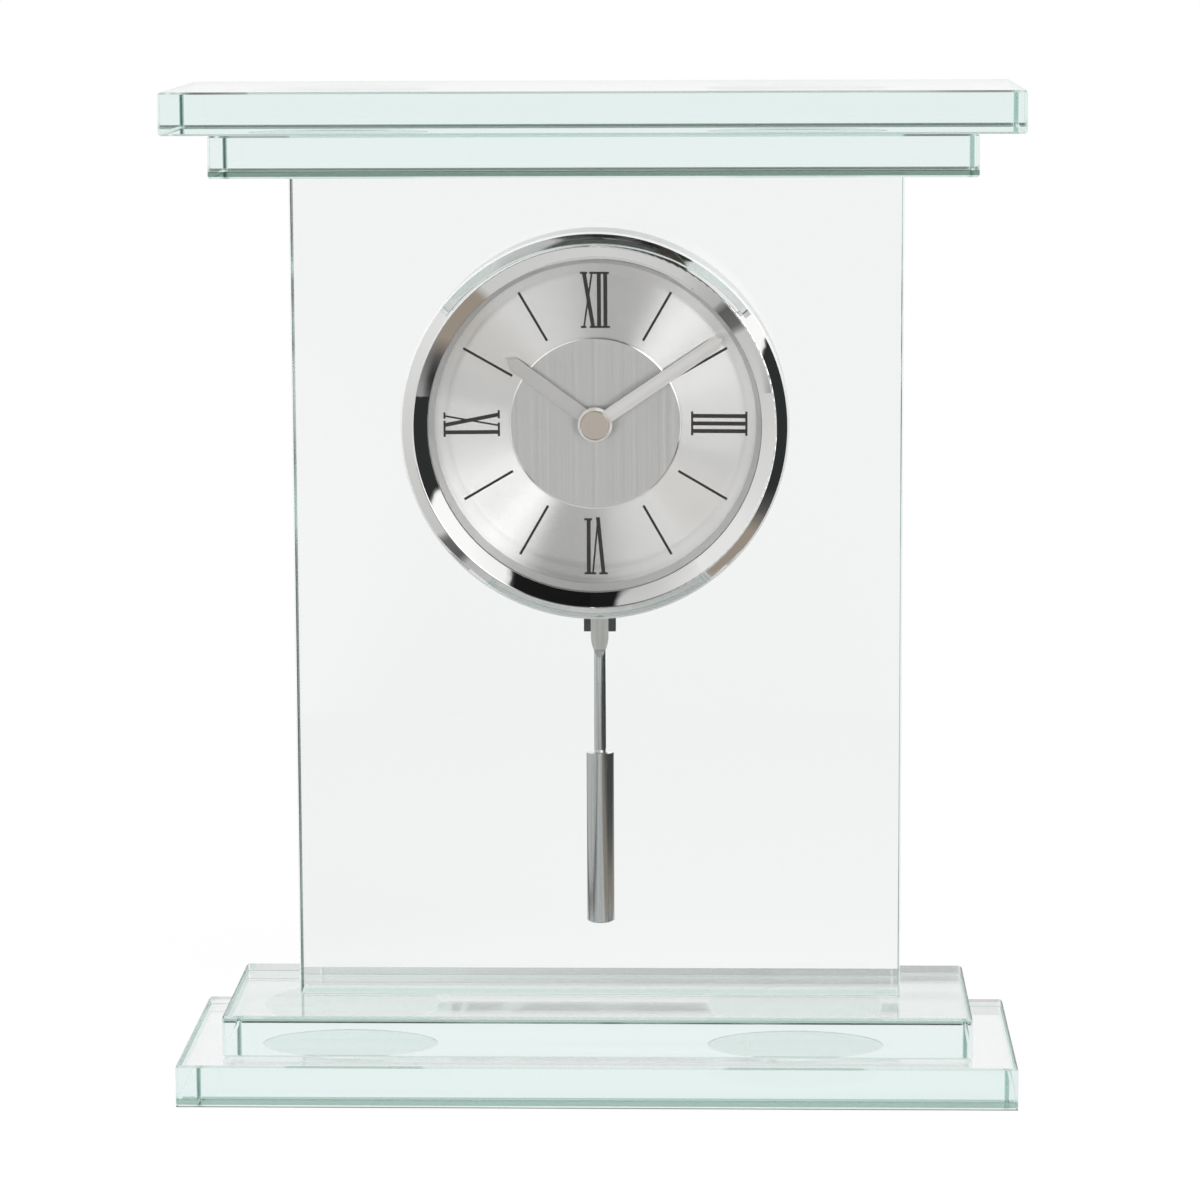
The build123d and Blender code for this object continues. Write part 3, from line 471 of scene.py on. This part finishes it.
def float_glass(name, arris_shade, slab=None, foot_shade=None):
    """Clear glass, faintly green in depth, with ground arrises. Seen from inside the glass the arrises
    take a dark tint: painted shade. Where a slab and its foot band are given, the lower part of the slab's
    upright faces, seen from outside, has painted shade: a dark tint."""
    finish = new_finish(name)
    nx, ny, nz = finish.facing()
    ground = abs(nx).most(abs(ny)).most(abs(nz)) < ARRIS_LIMIT
    from_inside = finish.node("ShaderNodeNewGeometry")["Backfacing"]
    # Painted shade: ground arrises seen from inside the glass take the dark tint
    shade = finish.mix(ground * from_inside, GLASS_BODY, arris_shade)
    if foot_shade is not None:
        height, tint = foot_shade
        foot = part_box(slab)[0].z / MM
        z = finish.parts(finish.place())[2]
        # Painted shade: a dark band along the foot of the upright faces, seen from outside
        painted_foot_band = (z < foot + height) * (abs(nz) < UPRIGHT_LIMIT) * (1.0 - from_inside)
        shade = finish.mix(painted_foot_band, shade, tint)
    glass = finish.surface({
        "Base Color": shade,
        "Roughness": ARRIS_ROUGHNESS * ground,
        "IOR": GLASS_IOR,
        "Transmission Weight": 1.0,
    })
    wetted = finish.node("ShaderNodeBsdfTransparent", {}, {"Color": CONTACT_TINT})
    joined = finish.blend(contact(finish), glass, wetted)
    depth = finish.node(
        "ShaderNodeVolumeAbsorption",
        {},
        {"Color": GLASS_CLEAR, "Density": GLASS_DENSITY},
    )
    return finish.done(lets_lamps_through(finish, joined), depth)


def lens_glass():
    """Thin polished glass over the hands."""
    finish = new_finish("lens_glass")
    glass = finish.surface({
        "Base Color": WHITE,
        "Roughness": 0.0,
        "IOR": GLASS_IOR,
        "Specular IOR Level": 0.2,
        "Transmission Weight": 1.0,
    })
    return finish.done(lets_lamps_through(finish, glass))


def adhesive_film():
    """Cured clear adhesive with a faint haze of fine bubbles."""
    finish = new_finish("adhesive_film")
    haze = finish.noise(finish.place(), 0.8, 4.0).ramp(0.45, 0.8, 0.0, 0.05)
    clear = finish.node("ShaderNodeBsdfTransparent")
    milky = finish.surface({"Base Color": (0.80, 0.86, 0.84, 1.0), "Roughness": 0.5})
    return finish.done(finish.blend(haze, clear, milky))


def from_head_axis(finish):
    """Distance from the clock's axis, and the outward direction from it."""
    x, y, z = finish.parts(finish.place())
    up = z - head_axis_z / MM
    flat = finish.join(x, 0.0, up)
    outward = finish.vector("NORMALIZE", flat)
    return finish.vector("LENGTH", flat)["Value"], outward


def grooves(finish, across, spacing_mm):
    """Fine random tool marks, from -0.5 to 0.5, that change along one distance only."""
    return finish.node(
        "ShaderNodeTexNoise",
        {"noise_dimensions": "1D"},
        {"W": across / spacing_mm, "Scale": 1.0, "Detail": 2.0, "Roughness": 0.7},
    )["Fac"] - 0.5


def bezel_chrome():
    """Polished plating, with a very faint haze where it has been wiped. The outer edge is a painted
    highlight: a near-white, barely metallic band that stands in for the light a rounded edge catches. The
    side is satin."""
    finish = new_finish("bezel_chrome")
    radius = from_head_axis(finish)[0]
    ny = finish.facing()[1]
    highlight_r = (head_high.x - head_low.x) / 2 / MM - HIGHLIGHT_EDGE_W
    wiped = finish.noise(finish.place(), 0.25, 4.0)
    slope = finish.surface({
        "Base Color": (0.86, 0.86, 0.85, 1.0),
        "Metallic": 1.0,
        "Roughness": wiped.ramp(0.35, 0.75, 0.015, 0.04),
    })
    # Painted highlight: a near-white, barely metallic band round the outer edge
    painted_highlight = finish.surface({
        "Base Color": (0.98, 0.98, 0.98, 1.0),
        "Metallic": 0.2,
        "Roughness": 0.35,
    })
    side = finish.surface({
        "Base Color": (0.80, 0.80, 0.80, 1.0),
        "Metallic": 1.0,
        "Roughness": 0.3,
    })
    front = finish.blend(radius > highlight_r, slope, painted_highlight)
    return finish.done(finish.blend(abs(ny) < SIDE_LIMIT, front, side))


def drawn_metal():
    """Plating over drawn bar, with faint marks along its length. The flat top end and the faces that point
    up are painted near-white: a painted highlight on the same metal."""
    finish = new_finish("drawn_nickel")
    spoon_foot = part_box("pendulum_rod")[1].z / MM - SPOON_L
    x, y, z = finish.parts(finish.place())
    nz = finish.facing()[2]
    marks = finish.noise(finish.join(x, y, z * DRAWN_STRETCH), 2.2, 3.0).ramp(0.3, 0.7)
    bar = finish.mix(marks, (0.60, 0.61, 0.61, 1.0), (0.72, 0.73, 0.73, 1.0))
    # Painted highlight: the flat top end and the faces that point up get a near-white base colour
    bright_face = (z > spoon_foot).most(nz > UPRIGHT_LIMIT)
    return finish.done(finish.surface({
        "Base Color": finish.mix(bright_face, bar, (0.98, 0.98, 0.97, 1.0)),
        "Metallic": 1.0,
        "Roughness": 0.08 + 0.06 * marks,
    }))


def polished_nickel():
    """Warm polished metal, turned."""
    finish = new_finish("polished_nickel")
    marks = grooves(finish, from_head_axis(finish)[0], CAP_MARKS)
    return finish.done(finish.surface({
        "Base Color": finish.mix(marks + 0.5, (0.88, 0.80, 0.73, 1.0), (0.94, 0.86, 0.79, 1.0)),
        "Metallic": 1.0,
        "Roughness": 0.09 + 0.05 * marks,
    }))


def pale_ring():
    """Matt pale ring between the glass and the dial."""
    finish = new_finish("pale_ring")
    cloud = finish.noise(finish.place(), 0.4, 3.0)
    return finish.done(finish.surface({
        "Base Color": finish.mix(cloud, (0.66, 0.66, 0.65, 1.0), (0.74, 0.74, 0.73, 1.0)),
        "Metallic": 0.4,
        "Roughness": cloud.ramp(0.3, 0.7, 0.32, 0.42),
    }))


def spun_metal(name, colour, spread, roughness):
    """Satin metal turned on a lathe: its marks run round the clock's axis."""
    finish = new_finish(name)
    radius, outward = from_head_axis(finish)
    marks = grooves(finish, radius, TURNED_MARKS)
    shade = finish.mix(marks + 0.5, darker(colour, 0.95), colour)
    sockets = {"Base Color": shade, "Metallic": 1.0, "Roughness": roughness + 0.06 * marks}
    return finish.done(finish.satin(sockets, outward, spread))


def brushed_metal(name, colour, across, spread, roughness, bevel=None):
    """Satin metal with straight marks: across is the direction that the marks change along. Where a colour
    is given for the bevel, sloping edges are polished in it."""
    finish = new_finish(name)
    place = finish.place()
    along = finish.vector("DOT_PRODUCT", place, across)["Value"]
    wander = finish.noise(place, 0.1, 1.0) * MARK_WANDER
    fine = grooves(finish, along + wander, FINE_MARKS)
    marks = 0.5 * fine + grooves(finish, along + wander, BROAD_MARKS)
    shade = finish.mix(marks + 0.5, darker(colour, 0.80), colour)
    turned = finish.node(
        "ShaderNodeVectorTransform",
        {"vector_type": "VECTOR", "convert_from": "OBJECT", "convert_to": "WORLD"},
        {"Vector": across},
    )
    sockets = {"Base Color": shade, "Metallic": 1.0, "Roughness": roughness + 0.05 * marks}
    shine = finish.satin(sockets, turned, spread)
    if bevel is not None:
        ny = finish.facing()[1]
        outward = from_head_axis(finish)[1]
        eased = finish.vector("ADD", finish.vector("SCALE", outward, scale=BEVEL_EASE), TO_FRONT)
        bright_face = finish.surface({
            "Base Color": bevel,
            "Metallic": 1.0,
            "Roughness": 0.1,
            "Normal": finish.vector("NORMALIZE", eased),
        })
        shine = finish.blend(abs(ny) < BEVEL_LIMIT, shine, bright_face)
    return finish.done(shine)


def across_hand(turn):
    """Direction across a hand that points to a turn in degrees clockwise from twelve."""
    return (cos(radians(turn)), 0.0, -sin(radians(turn)))


def moulded(name, colour, roughness, grain=0.25, depth=0.02, gloss=0.5):
    """Moulded plastic with a fine spark-eroded texture."""
    finish = new_finish(name)
    place = finish.place()
    texture = finish.noise(place, 1 / grain, 2.0)
    cloud = finish.noise(place, 0.12, 3.0)
    shade = finish.mix(cloud, darker(colour, 0.88), colour)
    return finish.done(finish.surface({
        "Base Color": shade,
        "Roughness": texture.ramp(0.3, 0.7, roughness - 0.06, roughness + 0.06),
        "Specular IOR Level": gloss,
        "Normal": finish.bump(texture, 0.5, depth),
    }))


def dial_print():
    """Black pad print."""
    finish = new_finish("dial_print")
    cloud = finish.noise(finish.place(), 1.5, 3.0)
    return finish.done(finish.surface({
        "Base Color": finish.mix(cloud, (0.005, 0.005, 0.005, 1.0), (0.010, 0.010, 0.010, 1.0)),
        "Roughness": cloud.ramp(0.3, 0.7, 0.4, 0.5),
        "Specular IOR Level": 0.15,
    }))


def wound_wire(name, colour):
    """Fine enamelled wire, wound side by side. The colour darkens between the turns: painted shade in the
    grooves.
    """
    finish = new_finish(name)
    x, y, z = finish.parts(finish.place())
    turns = finish.node(
        "ShaderNodeTexWave",
        {"wave_type": "BANDS", "bands_direction": "X"},
        {"Vector": finish.join(x + 0.02 * y, y, z), "Scale": 1.6, "Distortion": 0.6, "Detail": 1.0},
    )["Fac"]
    # Painted shade: the base colour drops to a third of the wire's in the grooves between turns
    return finish.done(finish.surface({
        "Base Color": finish.mix(turns, darker(colour, 0.35), colour),
        "Metallic": 0.8,
        "Roughness": 0.32,
        "Coat Weight": 0.5,
        "Normal": finish.bump(turns, 0.8, 0.08),
    }))


def battery_sleeve():
    """A plain printed sleeve: dark, with one copper band at the cap end, and bare steel ends."""
    finish = new_finish("battery_sleeve")
    low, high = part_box("battery")
    place = finish.place()
    along = (finish.parts(place)[0] - low.x / MM) / ((high.x - low.x) / MM)
    band = along > BAND_START
    steel = (along < STEEL_FOOT).most(along > STEEL_CAP)
    cloud = finish.noise(place, 0.3, 3.0)
    print_colour = finish.mix(band, (0.018, 0.019, 0.021, 1.0), (0.42, 0.21, 0.09, 1.0))
    shade = finish.mix(steel, print_colour, (0.60, 0.60, 0.59, 1.0))
    return finish.done(finish.surface({
        "Base Color": shade,
        "Metallic": steel.most(0.6 * band),
        "Roughness": cloud.ramp(0.3, 0.7, 0.26, 0.36),
    }))


def circuit_laminate():
    """Green resist with paler copper tracks under it."""
    finish = new_finish("circuit_laminate")
    x, y, z = finish.parts(finish.place())
    tracks = finish.node(
        "ShaderNodeTexBrick",
        {"offset": 0.5},
        {
            "Vector": finish.join(x, z, y),
            "Scale": 0.45,
            "Mortar Size": 0.05,
            "Color1": (0.0, 0.0, 0.0, 1.0),
            "Color2": (0.0, 0.0, 0.0, 1.0),
            "Mortar": WHITE,
        },
    )
    return finish.done(finish.surface({
        "Base Color": finish.mix(tracks, (0.010, 0.062, 0.022, 1.0), (0.035, 0.140, 0.055, 1.0)),
        "Roughness": 0.35,
    }))


def dress_nodes():
    """Gives every CAD piece the finish of its slot."""
    silver_edge = (0.95, 0.95, 0.94, 1.0)
    to_hour = across_hand(HOUR_HAND_TURN)
    to_minute = across_hand(MINUTE_HAND_TURN)
    finishes = {
        "clear_glass": float_glass("slab_glass", SLAB_ARRIS_SHADE),
        "bond_film": adhesive_film(),
        "lens_glass": lens_glass(),
        "head_chrome": bezel_chrome(),
        "drum_silver": spun_metal("turned_aluminium", (0.74, 0.75, 0.75, 1.0), 0.06, 0.26),
        "dial_silver": spun_metal("spun_silver", (0.90, 0.90, 0.89, 1.0), 0.19, 0.15),
        "disc_brushed": brushed_metal(
            "brushed_silver", (0.68, 0.68, 0.67, 1.0), TO_RIGHT, 0.17, 0.24, silver_edge),
        "hand_silver": brushed_metal("hour_hand_metal", (0.73, 0.73, 0.72, 1.0), to_hour, 0.06, 0.36),
        "case_plastic": moulded("case_black", (0.022, 0.022, 0.024, 1.0), 0.5),
        "hanger_plastic": moulded("hanger_grey", (0.038, 0.038, 0.040, 1.0), 0.45),
        "wheel_plastic": moulded("wheel_acetal", (0.72, 0.69, 0.60, 1.0), 0.35, 0.4, 0.008),
        "arbor_steel": brushed_metal("turned_steel", (0.56, 0.56, 0.56, 1.0), TO_BACK, 0.06, 0.22),
        "nut_brass": brushed_metal("machined_brass", (0.68, 0.47, 0.18, 1.0), TO_BACK, 0.06, 0.24),
        "rubber_grey": moulded("soft_rubber", (0.030, 0.030, 0.031, 1.0), 0.75, 0.15, 0.03, 0.3),
        "magnet_grey": moulded("pressed_ferrite", (0.040, 0.040, 0.043, 1.0), 0.55, 0.1, 0.03),
        "coil_copper": wound_wire("copper_winding", (0.62, 0.24, 0.10, 1.0)),
        "stator_steel": brushed_metal("stamped_steel", (0.50, 0.50, 0.51, 1.0), UP, 0.05, 0.32),
        "bobbin_plastic": moulded("bobbin_white", (0.66, 0.65, 0.58, 1.0), 0.45),
        "battery_label": battery_sleeve(),
        "contact_nickel": brushed_metal("nickel_strip", (0.64, 0.62, 0.58, 1.0), TO_BACK, 0.05, 0.24),
        "board_green": circuit_laminate(),
        "chip_black": moulded("resin_drop", (0.010, 0.010, 0.010, 1.0), 0.2, 0.8, 0.01),
    }
    drawn = drawn_metal()
    own_finishes = {
        "glass_panel": float_glass("panel_glass", PANEL_ARRIS_SHADE),
        "base_slab": float_glass("base_glass", SLAB_ARRIS_SHADE, "base_slab", BASE_FOOT_SHADE),
        "top_step_slab": float_glass("top_step_glass", SLAB_ARRIS_SHADE, "top_step_slab", TOP_STEP_FOOT_SHADE),
        # Painted light: the minute hand is the same metal as the hour hand, with a paler base colour that
        # stands in for the brighter light it shows
        "minute_hand": brushed_metal("minute_hand_painted_lighter", (0.98, 0.98, 0.97, 1.0), to_minute, 0.16, 0.30),
        "centre_cap": polished_nickel(),
        "spacer_ring": pale_ring(),
        "pendulum_rod": drawn,
        "pendulum_bob": drawn,
    }
    for part in frame["record"]["subparts"]:
        name = part["node"]
        piece = nodes[name]
        piece.data.materials.clear()
        piece.data.materials.append(own_finishes.get(name, finishes[part["material_slot"]]))


def new_piece(name, mesh):
    piece = bpy.data.objects.new(name, mesh)
    bpy.context.scene.collection.objects.link(piece)
    return piece


def evaluated_mesh(piece):
    """The piece's mesh with its modifiers applied, as a plain mesh."""
    ready = piece.evaluated_get(bpy.context.evaluated_depsgraph_get())
    return bpy.data.meshes.new_from_object(ready)


def quad_prism(name, corners, thick):
    """A closed flat prism on four corners (across, up)."""
    shape = bmesh.new()
    rings = [[shape.verts.new((u, v, w)) for u, v in corners] for w in (0.0, thick)]
    shape.faces.new(rings[0])
    shape.faces.new(rings[1])
    for i in range(4):
        j = (i + 1) % 4
        shape.faces.new((rings[0][i], rings[0][j], rings[1][j], rings[1][i]))
    bmesh.ops.recalc_face_normals(shape, faces=shape.faces)
    mesh = bpy.data.meshes.new(name)
    shape.to_mesh(mesh)
    shape.free()
    return new_piece(name, mesh)


def numeral_quads(strokes):
    """The four corners of each stroke of a numeral, in millimetres from its left foot."""
    tall = PRINT_TOP_R - PRINT_FOOT_R
    drop = strokes["drop"]
    quads = []
    for top, foot, width in strokes["slants"]:
        half = width / 2
        foot += (foot - top) * drop / tall
        quads.append([(foot - half, -drop), (foot + half, -drop), (top + half, tall), (top - half, tall)])
    for middle, width in strokes["stems"]:
        left = middle - width / 2
        right = middle + width / 2
        quads.append([(left, 0.0), (right, 0.0), (right, tall), (left, tall)])
    for bars, base in ((strokes["top"], tall - SERIF_H), (strokes["foot"], 0.0)):
        for left, right in bars:
            quads.append([(left, base), (right, base), (right, base + SERIF_H), (left, base + SERIF_H)])
    return quads


def fused(name, pieces):
    """One closed mesh from overlapping prisms."""
    helpers = bpy.data.collections.new(name + "_strokes")
    first, rest = pieces[0], pieces[1:]
    for piece in rest:
        helpers.objects.link(piece)
    union = first.modifiers.new("union", "BOOLEAN")
    union.operation = "UNION"
    union.operand_type = "COLLECTION"
    union.collection = helpers
    union.solver = "EXACT"
    bpy.context.view_layer.update()
    mesh = evaluated_mesh(first)
    for piece in pieces:
        bpy.data.objects.remove(piece)
    bpy.data.collections.remove(helpers)
    return mesh


def dial_depth(x, z):
    """Y of the dial's front face at a place on it."""
    hit, place, normal, face = nodes["dial"].ray_cast(Vector((x, cad_low.y, z)), Vector(TO_BACK))
    return place.y


def lay_on_dial(mesh, width, turn):
    """Turns a flat print to its hour and lays it on the dial's dished face."""
    for vertex in mesh.vertices:
        across = (vertex.co.x - width / 2) * MM
        out = (PRINT_FOOT_R + vertex.co.y) * MM
        x = across * cos(turn) + out * sin(turn)
        z = head_axis_z + out * cos(turn) - across * sin(turn)
        vertex.co = (x, dial_depth(x, z) - (PRINT_LIFT + vertex.co.z) * MM, z)
    shape = bmesh.new()
    shape.from_mesh(mesh)
    bmesh.ops.recalc_face_normals(shape, faces=shape.faces)
    shape.to_mesh(mesh)
    shape.free()


def printed_numerals(ink):
    for hour, strokes in NUMERALS.items():
        name = f"numeral_{hour}"
        prisms = [quad_prism(f"{name}_stroke", quad, PRINT_THICK) for quad in numeral_quads(strokes)]
        mesh = fused(name, prisms)
        lay_on_dial(mesh, strokes["width"], 2 * pi * hour / HOURS)
        mesh.name = name
        mesh.materials.clear()
        mesh.materials.append(ink)
        piece = new_piece(name, mesh)
        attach(piece, "stand")


def link(tree, source, target):
    tree.links.new(source, target)


def baton_tree(ink):
    """A ring of batons round the dial: one at each hour that has no numeral."""
    tree = bpy.data.node_groups.new("baton_ring", "GeometryNodeTree")
    sizes = {}
    for name in ("Width", "Length", "Thickness", "Middle Radius", "Depth", "Axis Height", "Slope"):
        socket = tree.interface.new_socket(name, in_out="INPUT", socket_type="NodeSocketFloat")
        sizes[name] = socket.identifier
    tree.interface.new_socket("Geometry", in_out="OUTPUT", socket_type="NodeSocketGeometry")
    add = tree.nodes.new
    given = add("NodeGroupInput").outputs
    result = add("NodeGroupOutput").inputs

    size = add("ShaderNodeCombineXYZ")
    link(tree, given["Width"], size.inputs["X"])
    link(tree, given["Thickness"], size.inputs["Y"])
    link(tree, given["Length"], size.inputs["Z"])
    block = add("GeometryNodeMeshCube")
    link(tree, size.outputs[0], block.inputs["Size"])
    spot = add("ShaderNodeCombineXYZ")
    link(tree, given["Depth"], spot.inputs["Y"])
    link(tree, given["Middle Radius"], spot.inputs["Z"])
    lean = add("ShaderNodeCombineXYZ")
    link(tree, given["Slope"], lean.inputs["X"])
    seat = add("GeometryNodeTransform")
    link(tree, block.outputs["Mesh"], seat.inputs["Geometry"])
    link(tree, spot.outputs[0], seat.inputs["Translation"])
    link(tree, lean.outputs[0], seat.inputs["Rotation"])

    hours = add("GeometryNodePoints")
    hours.inputs["Count"].default_value = HOURS
    centre = add("ShaderNodeCombineXYZ")
    link(tree, given["Axis Height"], centre.inputs["Z"])
    link(tree, centre.outputs[0], hours.inputs["Position"])
    index = add("GeometryNodeInputIndex")
    quarter = add("ShaderNodeMath")
    quarter.operation = "MODULO"
    quarter.inputs[1].default_value = NUMERAL_STEP
    link(tree, index.outputs[0], quarter.inputs[0])
    plain_hour = add("ShaderNodeMath")
    plain_hour.operation = "GREATER_THAN"
    plain_hour.inputs[1].default_value = 0.5
    link(tree, quarter.outputs[0], plain_hour.inputs[0])
    turn = add("ShaderNodeMath")
    turn.operation = "MULTIPLY"
    turn.inputs[1].default_value = 2 * pi / HOURS
    link(tree, index.outputs[0], turn.inputs[0])
    turned = add("ShaderNodeCombineXYZ")
    link(tree, turn.outputs[0], turned.inputs["Y"])

    ring = add("GeometryNodeInstanceOnPoints")
    link(tree, hours.outputs[0], ring.inputs["Points"])
    link(tree, plain_hour.outputs[0], ring.inputs["Selection"])
    link(tree, seat.outputs[0], ring.inputs["Instance"])
    link(tree, turned.outputs[0], ring.inputs["Rotation"])
    real = add("GeometryNodeRealizeInstances")
    link(tree, ring.outputs[0], real.inputs[0])
    inked = add("GeometryNodeSetMaterial")
    inked.inputs["Material"].default_value = ink
    link(tree, real.outputs[0], inked.inputs["Geometry"])
    link(tree, inked.outputs[0], result["Geometry"])
    return tree, sizes


def printed_batons(ink):
    inner = dial_depth(0.0, head_axis_z + PRINT_FOOT_R * MM)
    outer = dial_depth(0.0, head_axis_z + PRINT_TOP_R * MM)
    length = (PRINT_TOP_R - PRINT_FOOT_R) * MM
    tree, sizes = baton_tree(ink)
    holder = new_piece("baton_holder", bpy.data.meshes.new("baton_holder"))
    maker = holder.modifiers.new("batons", "NODES")
    maker.node_group = tree
    wanted = {
        "Width": BATON_W * MM,
        "Length": length,
        "Thickness": PRINT_THICK * MM,
        "Middle Radius": (PRINT_FOOT_R + PRINT_TOP_R) / 2 * MM,
        "Depth": (inner + outer) / 2 - (PRINT_LIFT + PRINT_THICK / 2) * MM,
        "Axis Height": head_axis_z,
        "Slope": (inner - outer) / length,
    }
    for name, value in wanted.items():
        maker[sizes[name]] = value
    bpy.context.view_layer.update()
    mesh = evaluated_mesh(holder)
    bpy.data.objects.remove(holder)
    mesh.name = "hour_batons"
    piece = new_piece("hour_batons", mesh)
    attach(piece, "stand")


def grey(level):
    return (level, level, level, 1.0)


def ring_of_cards(finish, turn, cards):
    """Cards round the clock's axis, each a colour or a level of grey at its turn in degrees."""
    stops = []
    for degrees, card in cards:
        colour = grey(card) if isinstance(card, float) else card
        stops.append((degrees / 360, colour))
    return finish.node("ShaderNodeValToRGB", {"stops": stops}, {"Fac": turn})


def turn_about_head(across, up):
    """Turn clockwise from straight up, from 0 to 1."""
    turn = across.sum("ARCTAN2", across, up) / (2 * pi)
    return turn.sum("FRACT", turn)


def metal_view(finish):
    """0 for what is seen straight or through glass, 1 for what a polished surface reflects."""
    return finish.node("ShaderNodeLightPath")["Glossy Depth"] > 0.5


def soft_view(finish):
    """1 for the light that a dull surface gathers."""
    return finish.node("ShaderNodeLightPath")["Diffuse Depth"] > 0.5


def through_panel(finish):
    """1 for what metal behind the panel reflects, out through the glass again."""
    return finish.node("ShaderNodeLightPath")["Transmission Depth"] > PANEL_CROSSINGS + 0.5


def studio_world():
    """White all round, with the cards and flags that polished metal sees at the sides and in front."""
    world = Finish(bpy.data.worlds.new("studio"))
    x, y, z = world.parts(world.node("ShaderNodeTexCoord")["Generated"])
    turn = turn_about_head(x, z)
    waver = (world.noise(world.join(x, y, z), CARD_WAVER_SCALE, 0.0) - 0.5) * CARD_WAVER
    sides = ring_of_cards(world, turn + waver, SIDE_CARDS)
    front = ring_of_cards(world, turn, FRONT_CARDS)
    near = world.mix(y.ramp(*ROOM_EDGE), front, ROOM)
    around = world.mix(y.ramp(*SIDE_EDGE), near, sides)
    metal = world.mix(y.ramp(*BACK_EDGE), around, WHITE)
    seen = world.mix(metal_view(world), WHITE, metal)
    light = world.mix(soft_view(world), seen, grey(AMBIENT))
    bpy.context.scene.world = world.done(world.node("ShaderNodeBackground", {}, {"Color": light}))


def studio_floor():
    """A pale floor just under the clock. It reads as white and keeps a faint shadow. A strip under the
    front edge of the base has a painted contact shadow, where the floor's glow drops almost to nothing.
    Polished surfaces see the cards round the studio in it, and the panel's faces a dim level ahead of the
    clock."""
    mesh = bpy.data.meshes.new("floor")
    low = cad_low.z - FLOOR_GAP * MM
    far = FLOOR_REACH
    corners = [(-far, -far, low), (far, -far, low), (far, far, low), (-far, far, low)]
    mesh.from_pydata(corners, [], [(0, 1, 2, 3)])
    floor = new_piece("floor", mesh)
    finish = new_finish("pale_floor")
    x, y, z = finish.parts(finish.node("ShaderNodeTexCoord")["Object"])
    cards = ring_of_cards(finish, turn_about_head(x, z - head_axis_z), SIDE_CARDS)
    foot_low, foot_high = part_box("base_slab")
    # Painted shadow: a strip under the front edge of the base, where the floor's glow drops almost to
    # nothing
    painted_shadow = (abs(x) < foot_high.x) * (y > foot_low.y) * (y < foot_low.y + FLOOR_SHADOW_RIM * MM)
    level = finish.mix(painted_shadow, grey(FLOOR_GLOW), grey(FLOOR_SHADOW_GLOW))
    glow = finish.mix(soft_view(finish), level, grey(0.0))
    shine = finish.node("ShaderNodeEmission", {}, {"Color": glow})
    paper = finish.node("ShaderNodeBsdfDiffuse", {}, {"Color": grey(FLOOR_PAPER)})
    plain = finish.node("ShaderNodeAddShader", {}, {0: shine, 1: paper})
    ahead = y.ramp(*AHEAD_EDGE) * (1.0 - through_panel(finish))
    seen = finish.mix(ahead, cards, grey(FLOOR_AHEAD))
    studio = finish.node("ShaderNodeEmission", {}, {"Color": seen})
    patch = (abs(x) < PATCH_HALF_W) * (y > PATCH_NEAR) * (y < PATCH_FAR)
    mesh.materials.append(finish.done(finish.blend(metal_view(finish) * (1.0 - patch), plain, studio)))


def soft_lamp(name, place, target, size, watts):
    lamp = bpy.data.lights.new(name, "AREA")
    lamp.size = size
    lamp.energy = watts
    holder = bpy.data.objects.new(name, lamp)
    holder.location = place
    holder.rotation_euler = (Vector(target) - Vector(place)).to_track_quat("-Z", "Y").to_euler()
    holder.visible_camera = False
    holder.visible_glossy = False
    holder.visible_transmission = False
    bpy.context.scene.collection.objects.link(holder)


def photo_camera():
    level = cos(CAMERA_PITCH)
    ahead = Vector((sin(CAMERA_YAW) * level, cos(CAMERA_YAW) * level, sin(CAMERA_PITCH)))
    right = Vector((cos(CAMERA_YAW), -sin(CAMERA_YAW), 0.0))
    up = right.cross(ahead)
    across = right * cos(CAMERA_ROLL) + up * sin(CAMERA_ROLL)
    upright = up * cos(CAMERA_ROLL) - right * sin(CAMERA_ROLL)
    lens = bpy.data.cameras.new("photo_camera")
    lens.sensor_width = SENSOR_MM
    lens.lens = FOCAL_PX / FRAME_PX * SENSOR_MM
    lens.clip_start = CAMERA_NEAR
    camera = bpy.data.objects.new("photo_camera", lens)
    turn = Matrix((across, upright, -ahead)).transposed().to_4x4()
    camera.matrix_world = Matrix.Translation(CAMERA_PLACE) @ turn
    bpy.context.scene.collection.objects.link(camera)
    bpy.context.scene.camera = camera


def light_paths():
    """Enough bounces for light to find its way through five slabs of glass."""
    cycles = bpy.context.scene.cycles
    cycles.max_bounces = 32
    cycles.glossy_bounces = 24
    cycles.transmission_bounces = 32
    cycles.transparent_max_bounces = 24


dress_nodes()
print_ink = dial_print()
printed_numerals(print_ink)
printed_batons(print_ink)
studio_world()
studio_floor()
middle = (cad_low + cad_high) / 2
soft_lamp("key", KEY_PLACE, middle, KEY_SIZE, KEY_WATTS)
soft_lamp("fill", FILL_PLACE, middle, FILL_SIZE, FILL_WATTS)
photo_camera()
light_paths()
bpy.context.scene.view_settings.view_transform = "Standard"
